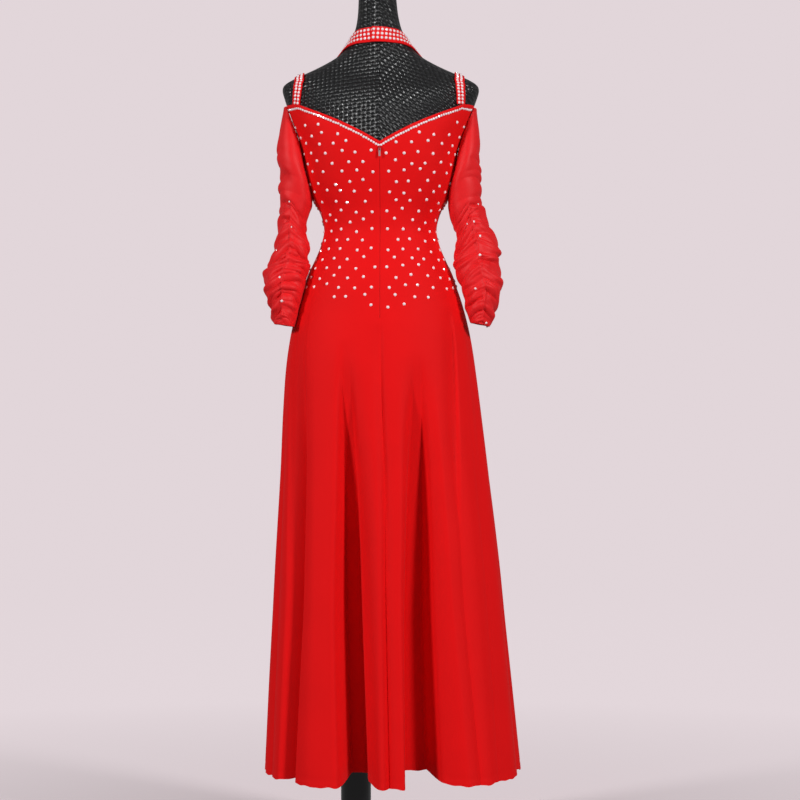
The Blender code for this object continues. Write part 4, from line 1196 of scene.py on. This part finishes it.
def round_from(line, phi):
    """Signed turn from a line to a place round the sleeve, between -pi and pi."""
    return np.mod(phi - line + math.pi, 2.0 * math.pi) - math.pi


def wander(at, seed, waves):
    """Slow irregular change along a line, between -1 and 1: a few sines of unlike lengths."""
    made = np.random.default_rng(seed)
    total = 0.0
    for wave in waves:
        total = total + np.sin(2.0 * np.pi * wave * at + made.uniform(0.0, 6.28))
    return total / len(waves)


def armhole_ring(phi, top, bottom):
    """Depth and height of the sleeve's sewn edge at each turn round it.

    It goes up the back armhole edge, level over the outside of the arm and down the front
    edge, as the neckline's own line continues.
    """
    from_top = np.abs(round_from(0.0, phi))
    share = clamp((from_top - TOP_EDGE) / (math.pi - TOP_EDGE))
    low = bottom + UNDERARM_LIFT
    z = low + (top - low) * (0.5 + 0.5 * np.cos(math.pi * share ** 0.85))
    edge = 90.0 - smooth(ARMHOLE, "half_angle", z) - ARMHOLE_LAP
    front = np.where(np.mod(phi, 2.0 * math.pi) < math.pi, 1.0, -1.0)
    on_body = body_point(np.where(front > 0, 180.0 - edge, edge), z)
    across = clamp(from_top / TOP_EDGE) * clamp((math.pi - from_top) / TOP_EDGE)
    return on_body[..., 1] * across, z


def soft_folds(length, phi, side):
    """Pointed folds of the upper arm, high on the outer edge: exp(-(|d| / width) ** 1.3)."""
    away = np.abs(round_from(0.0, phi))
    fade = clamp(1.0 - away / 2.1)
    lift = np.zeros(length.shape)
    for tip in TIPS:
        if tip.side == side:
            from_line = np.abs(length - tip.place + tip.climb * away ** 1.15)
            width = tip.width * (1.0 + 0.5 * away)
            lift = lift + tip.height * fade * np.exp(-(from_line / width) ** 1.3)
    return lift


def small_gathers(length, phi, seed):
    """Crumpled gathers that run down and outwards on both sides of the gather line.

    Each is a ridge exp(-(|d| / width) ** 1.5) whose start, slope, reach, height and width are
    drawn; it widens as it leaves the line and dies out before it is half round the arm.
    """
    made = np.random.default_rng(seed)
    lift = np.zeros(length.shape)
    for number in range(GATHERS):
        for hand in (-1.0, 1.0):
            start = GATHERS_FROM + GATHERS_OVER * (number + made.uniform(0.0, 1.0)) / GATHERS
            slope = made.uniform(0.030, 0.078)
            reach = made.uniform(0.9, 2.6)
            height = made.uniform(0.0010, 0.0040)
            width = made.uniform(0.0040, 0.0085)
            bend = made.uniform(0.0, 6.28)
            away = hand * round_from(GATHER_LINE, phi)
            line = start + slope * away + 0.005 * np.sin(3.5 * away + bend)
            ridge = np.exp(-(np.abs(length - line) / (width * (1.0 + 0.8 * np.abs(away)))) ** 1.5)
            fade = clamp(away / 0.06) * clamp((reach - away) / (0.6 * reach))
            lift = lift + height * ridge * fade
    return lift - 0.0012


def sleeve_points(rows, side):
    """Rings from armhole to cuff, clear of the body, with folds, ruches and gathers.

    All are raised along the surface's normal. The upper arm has a few soft folds. Further down
    ruches climb from both sides to the gather line, with small gathers on top of them.
    """
    table = [Ring(float(i), *rows[i], *SLEEVE_DEPTHS[i]) for i in range(len(rows))]
    last = len(rows) - 1.0
    s, phi = np.meshgrid(
        np.linspace(0.0, last, SLEEVE_ROWS),
        np.linspace(0.0, 2.0 * math.pi, SLEEVE_COLUMNS, endpoint=False),
        indexing="ij",
    )
    inner, inner_z, outer, outer_z, half_depth, back = (
        smooth(table, column, s) for column in Ring._fields[1:]
    )
    length = s / last
    across = np.cos(phi)
    across = np.where(across < 0.0, -np.abs(across) ** 0.75, across)
    out = 0.5 * (inner + outer) + 0.5 * (outer - inner) * across
    z = 0.5 * (inner_z + outer_z) + 0.5 * (outer_z - inner_z) * across
    y = -back + half_depth * np.sin(phi)
    sewn = clamp(1.0 - length * 6.0) ** 2
    ring_y, ring_z = armhole_ring(phi, rows[0][3], rows[0][1])
    y = y + (ring_y - y) * sewn
    z = z + (ring_z - z) * sewn
    hang = clamp(length * 8.0)
    keep = body_side(side, y, z) + ARMHOLE_CLEAR + (HANG_CLEAR - ARMHOLE_CLEAR) * hang
    free = clamp((out - keep) / 0.008)
    out = np.maximum(out, keep)
    out = keep * sewn + out * (1.0 - sewn)
    plain = np.stack([side * out, y, z], axis=-1)
    lower = clamp((length - RUCHES_FROM) / RUCHES_OVER)
    lower = lower * lower * (3.0 - 2.0 * lower)
    away = np.abs(round_from(GATHER_LINE, phi))
    drift = 0.34 * wander(length, 3 + int(side), (3.0, 5.5, 9.0))
    ruche = np.cos(2.0 * math.pi * (RUCHES * length ** 0.85 - 0.75 * away + 1.2 + drift))
    uneven = 0.75 + 0.55 * wander(length + 0.05 * away, 11 + int(side), (4.0, 7.5, 11.0))
    fade_top = clamp(length * 6.0 - 0.5)
    fade_cuff = clamp((1.0 - length) * 12.0 + 0.25)
    lift = RUCHE_HEIGHT * ruche * uneven * (0.80 + 0.30 * np.cos(phi)) * lower
    lift = lift + soft_folds(length, phi, side) * (1.0 - 0.7 * lower)
    lift = lift + small_gathers(length, phi, 21 + int(side)) * clamp((length - 0.33) / 0.10)
    lift = lift - GATHER_DIP * lower * bell(away, 0.09)
    lift = lift * fade_top * fade_cuff * (0.15 + 0.85 * free)
    puckers = 0.0006 * np.sin(46.0 * phi + 2.0 * np.sin(3.0 * phi)) * bell(length, 0.05)
    down = np.gradient(plain, axis=0)
    around = np.roll(plain, -1, axis=1) - np.roll(plain, 1, axis=1)
    normal = unit(np.cross(around, down) * side)
    return plain + normal * (lift + puckers * (length > 0.004))[..., None]


def red_mesh():
    """Sheer stretch mesh over itself: lighter than the crepe, with a silky sheen."""
    sheen = {"Sheen_Weight": 0.10, "Sheen_Roughness": 0.35, "Sheen_Tint": (1.0, 0.40, 0.42, 1.0)}
    finish = Finish("red_mesh_cloth", Roughness=0.50, Specular_IOR_Level=0.16, **sheen)
    where, _ = finish.place()
    uneven = finish.noise(where, 30.0, 3.0)
    deep = (0.70, 0.007, 0.009, 1.0)
    light = (0.80, 0.020, 0.024, 1.0)
    finish.feed("Base Color", finish.mix(uneven, deep, light))
    finish.feed("Normal", finish.bump(finish.noise(where, 1500.0), 0.35, 0.0004))
    return finish.material


mesh_finish = red_mesh()
sleeve_grids = {}
for node, (side, rows) in SLEEVES.items():
    points = sleeve_points(rows, side)
    if side > 0:
        points = points[:, ::-1]
    sleeve_grids[node] = points
    sleeve = grid_mesh("ruched_" + node, points[::-1], ring=True, wall=MESH_CLOTH)
    dress_up(sleeve, mesh_finish, "red_mesh", node)
    hang_cloth(sleeve, np.concatenate([points, points[:, :1]], axis=1), "gathered", "form_body")


# Stones of the sleeves
# A few stones glued on here and there over the ruches, x and z in metres. Those of the front
# stand a little lower than those of the back.
SLEEVE_STONES = {
    "sleeve_left": [
        (-0.169, 1.234), (-0.167, 1.186), (-0.194, 1.143), (-0.186, 1.091), (-0.182, 1.046),
    ],
    "sleeve_right": [
        (0.184, 1.230), (0.165, 1.192), (0.177, 1.196), (0.188, 1.169), (0.188, 1.133),
        (0.180, 1.070), (0.199, 1.006),
    ],
}
FRONT_DROP = 0.022
SLEEVE_STONE = 0.0026
for node, spots in SLEEVE_STONES.items():
    grid = sleeve_grids[node]
    around = np.roll(grid, -1, axis=1) - np.roll(grid, 1, axis=1)
    outward = unit(np.cross(np.gradient(grid, axis=0), around))
    from_axis = grid - grid.mean(axis=1, keepdims=True)
    outward = outward * np.sign((outward * from_axis).sum(axis=-1, keepdims=True))
    places = []
    normals = []
    for hand, drop in ((-1.0, 0.0), (1.0, FRONT_DROP)):
        facing_hand = outward[..., 1] * hand > 0.15
        for x, z in spots:
            far = np.hypot(grid[..., 0] - x, grid[..., 2] - (z - drop))
            spot = np.unravel_index(np.where(facing_hand, far, 9.0).argmin(), far.shape)
            places.append(grid[spot] + 0.0003 * outward[spot])
            normals.append(outward[spot])
    set_stones("stones_" + node, np.array(places), np.array(normals), SLEEVE_STONE, "red_mesh")


# Zip slider and pull
# Lacquered red slider on the centre-back seam, with a glossy pale tab that swings on it. Both
# are the frame's own pieces.
red = {"Base_Color": (0.62, 0.02, 0.025, 1.0), "Roughness": 0.22, "Metallic": 0.3}
pale = {"Base_Color": (0.86, 0.55, 0.56, 1.0), "Roughness": 0.14, "Metallic": 0.7}
refinish("zip_slider", Finish("slider_red", Coat_Weight=0.6, **red))
refinish("zip_pull", Finish("pull_pale", Coat_Weight=0.6, **pale))


# Studio
# A pale pinkish grey room, round so that every side of the dress has the same backdrop, with
# a soft light high on each side of the camera, the right one stronger, and one behind.
ROOM_GREY = (0.753, 0.665, 0.694, 1.0)
FLOOR_RADIUS = 6.5
CORNER_RADIUS = 3.0       # of the round corner between floor and wall
WALL_TOP = 12.0
FLOOR_DROP = 0.0005
bend = np.radians(np.linspace(0.0, 90.0, 13)[1:])
floor_radius = [0.0, 0.5, 1.0, 2.0, 4.0, FLOOR_RADIUS]
bend_radius = FLOOR_RADIUS + CORNER_RADIUS * np.sin(bend)
bend_height = CORNER_RADIUS * (1.0 - np.cos(bend))
room_radius = np.concatenate([floor_radius, bend_radius, [FLOOR_RADIUS + CORNER_RADIUS]])
room_height = np.concatenate([np.zeros(len(floor_radius)), bend_height, [WALL_TOP]]) - FLOOR_DROP
room_turn = np.linspace(0.0, 2.0 * math.pi, 96, endpoint=False)[::-1]
radius, turn = np.meshgrid(room_radius, room_turn, indexing="ij")
height = np.broadcast_to(room_height[:, None], radius.shape)
room_points = np.stack([radius * np.cos(turn), radius * np.sin(turn), height], axis=-1)
room = grid_mesh("room", room_points, ring=True)
matt = {"Roughness": 0.95, "Specular_IOR_Level": 0.0}
room_finish = Finish("room_grey", Base_Color=ROOM_GREY, Emission_Strength=1.0, **matt)
_, (room_x, room_y, _) = room_finish.place()
from_middle = (room_x * room_x + room_y * room_y).math("SQRT")
far = (from_middle - 0.5).math("DIVIDE", 1.8).math("MAXIMUM", 0.0).math("MINIMUM", 1.0)
room_finish.feed("Base Color", room_finish.mix(far, ROOM_GREY, (0.02, 0.018, 0.019, 1.0)))
room_finish.feed("Emission Color", room_finish.mix(far, (0.10, 0.09, 0.093, 1.0), ROOM_GREY))
room.data.materials.append(room_finish.material)
room.visible_diffuse = False
room.visible_glossy = False

world = bpy.data.worlds.new("studio_air")
world.use_nodes = True
world.node_tree.nodes["Background"].inputs["Color"].default_value = (1.0, 0.97, 0.98, 1.0)
world.node_tree.nodes["Background"].inputs["Strength"].default_value = 0.19
bpy.context.scene.world = world

Lamp = namedtuple("Lamp", "name place size power")
LAMPS = [
    Lamp("right_box", (3.5, -3.7, 2.9), 0.9, 196.0),
    Lamp("left_box", (-3.8, -3.2, 2.8), 0.8, 158.0),
    Lamp("back", (0.5, 4.2, 3.8), 2.6, 60.0),
]
aim = mathutils.Vector((0.0, 0.0, 0.95))
for lamp in LAMPS:
    light = bpy.data.lights.new(lamp.name, "AREA")
    light.shape = "DISK"
    light.size = lamp.size
    light.energy = lamp.power
    holder = bpy.data.objects.new(lamp.name, light)
    holder.location = lamp.place
    holder.rotation_mode = "QUATERNION"
    holder.rotation_quaternion = (aim - holder.location).to_track_quat("-Z", "Y")
    holder.visible_glossy = lamp.name != "back"
    bpy.context.scene.collection.objects.link(holder)
bpy.context.scene.view_settings.view_transform = "Standard"


# Camera
# Level and square on to the back, 4.5 m away at hip height, as the photograph was taken.
camera = bpy.data.objects.new("camera", bpy.data.cameras.new("camera"))
camera.location = (0.038, -4.5, 0.8615)
camera.rotation_euler = (math.radians(90.0), 0.0, 0.0)
camera.data.lens = 106.58
camera.data.sensor_width = 36.0
bpy.context.scene.collection.objects.link(camera)
bpy.context.scene.camera = camera
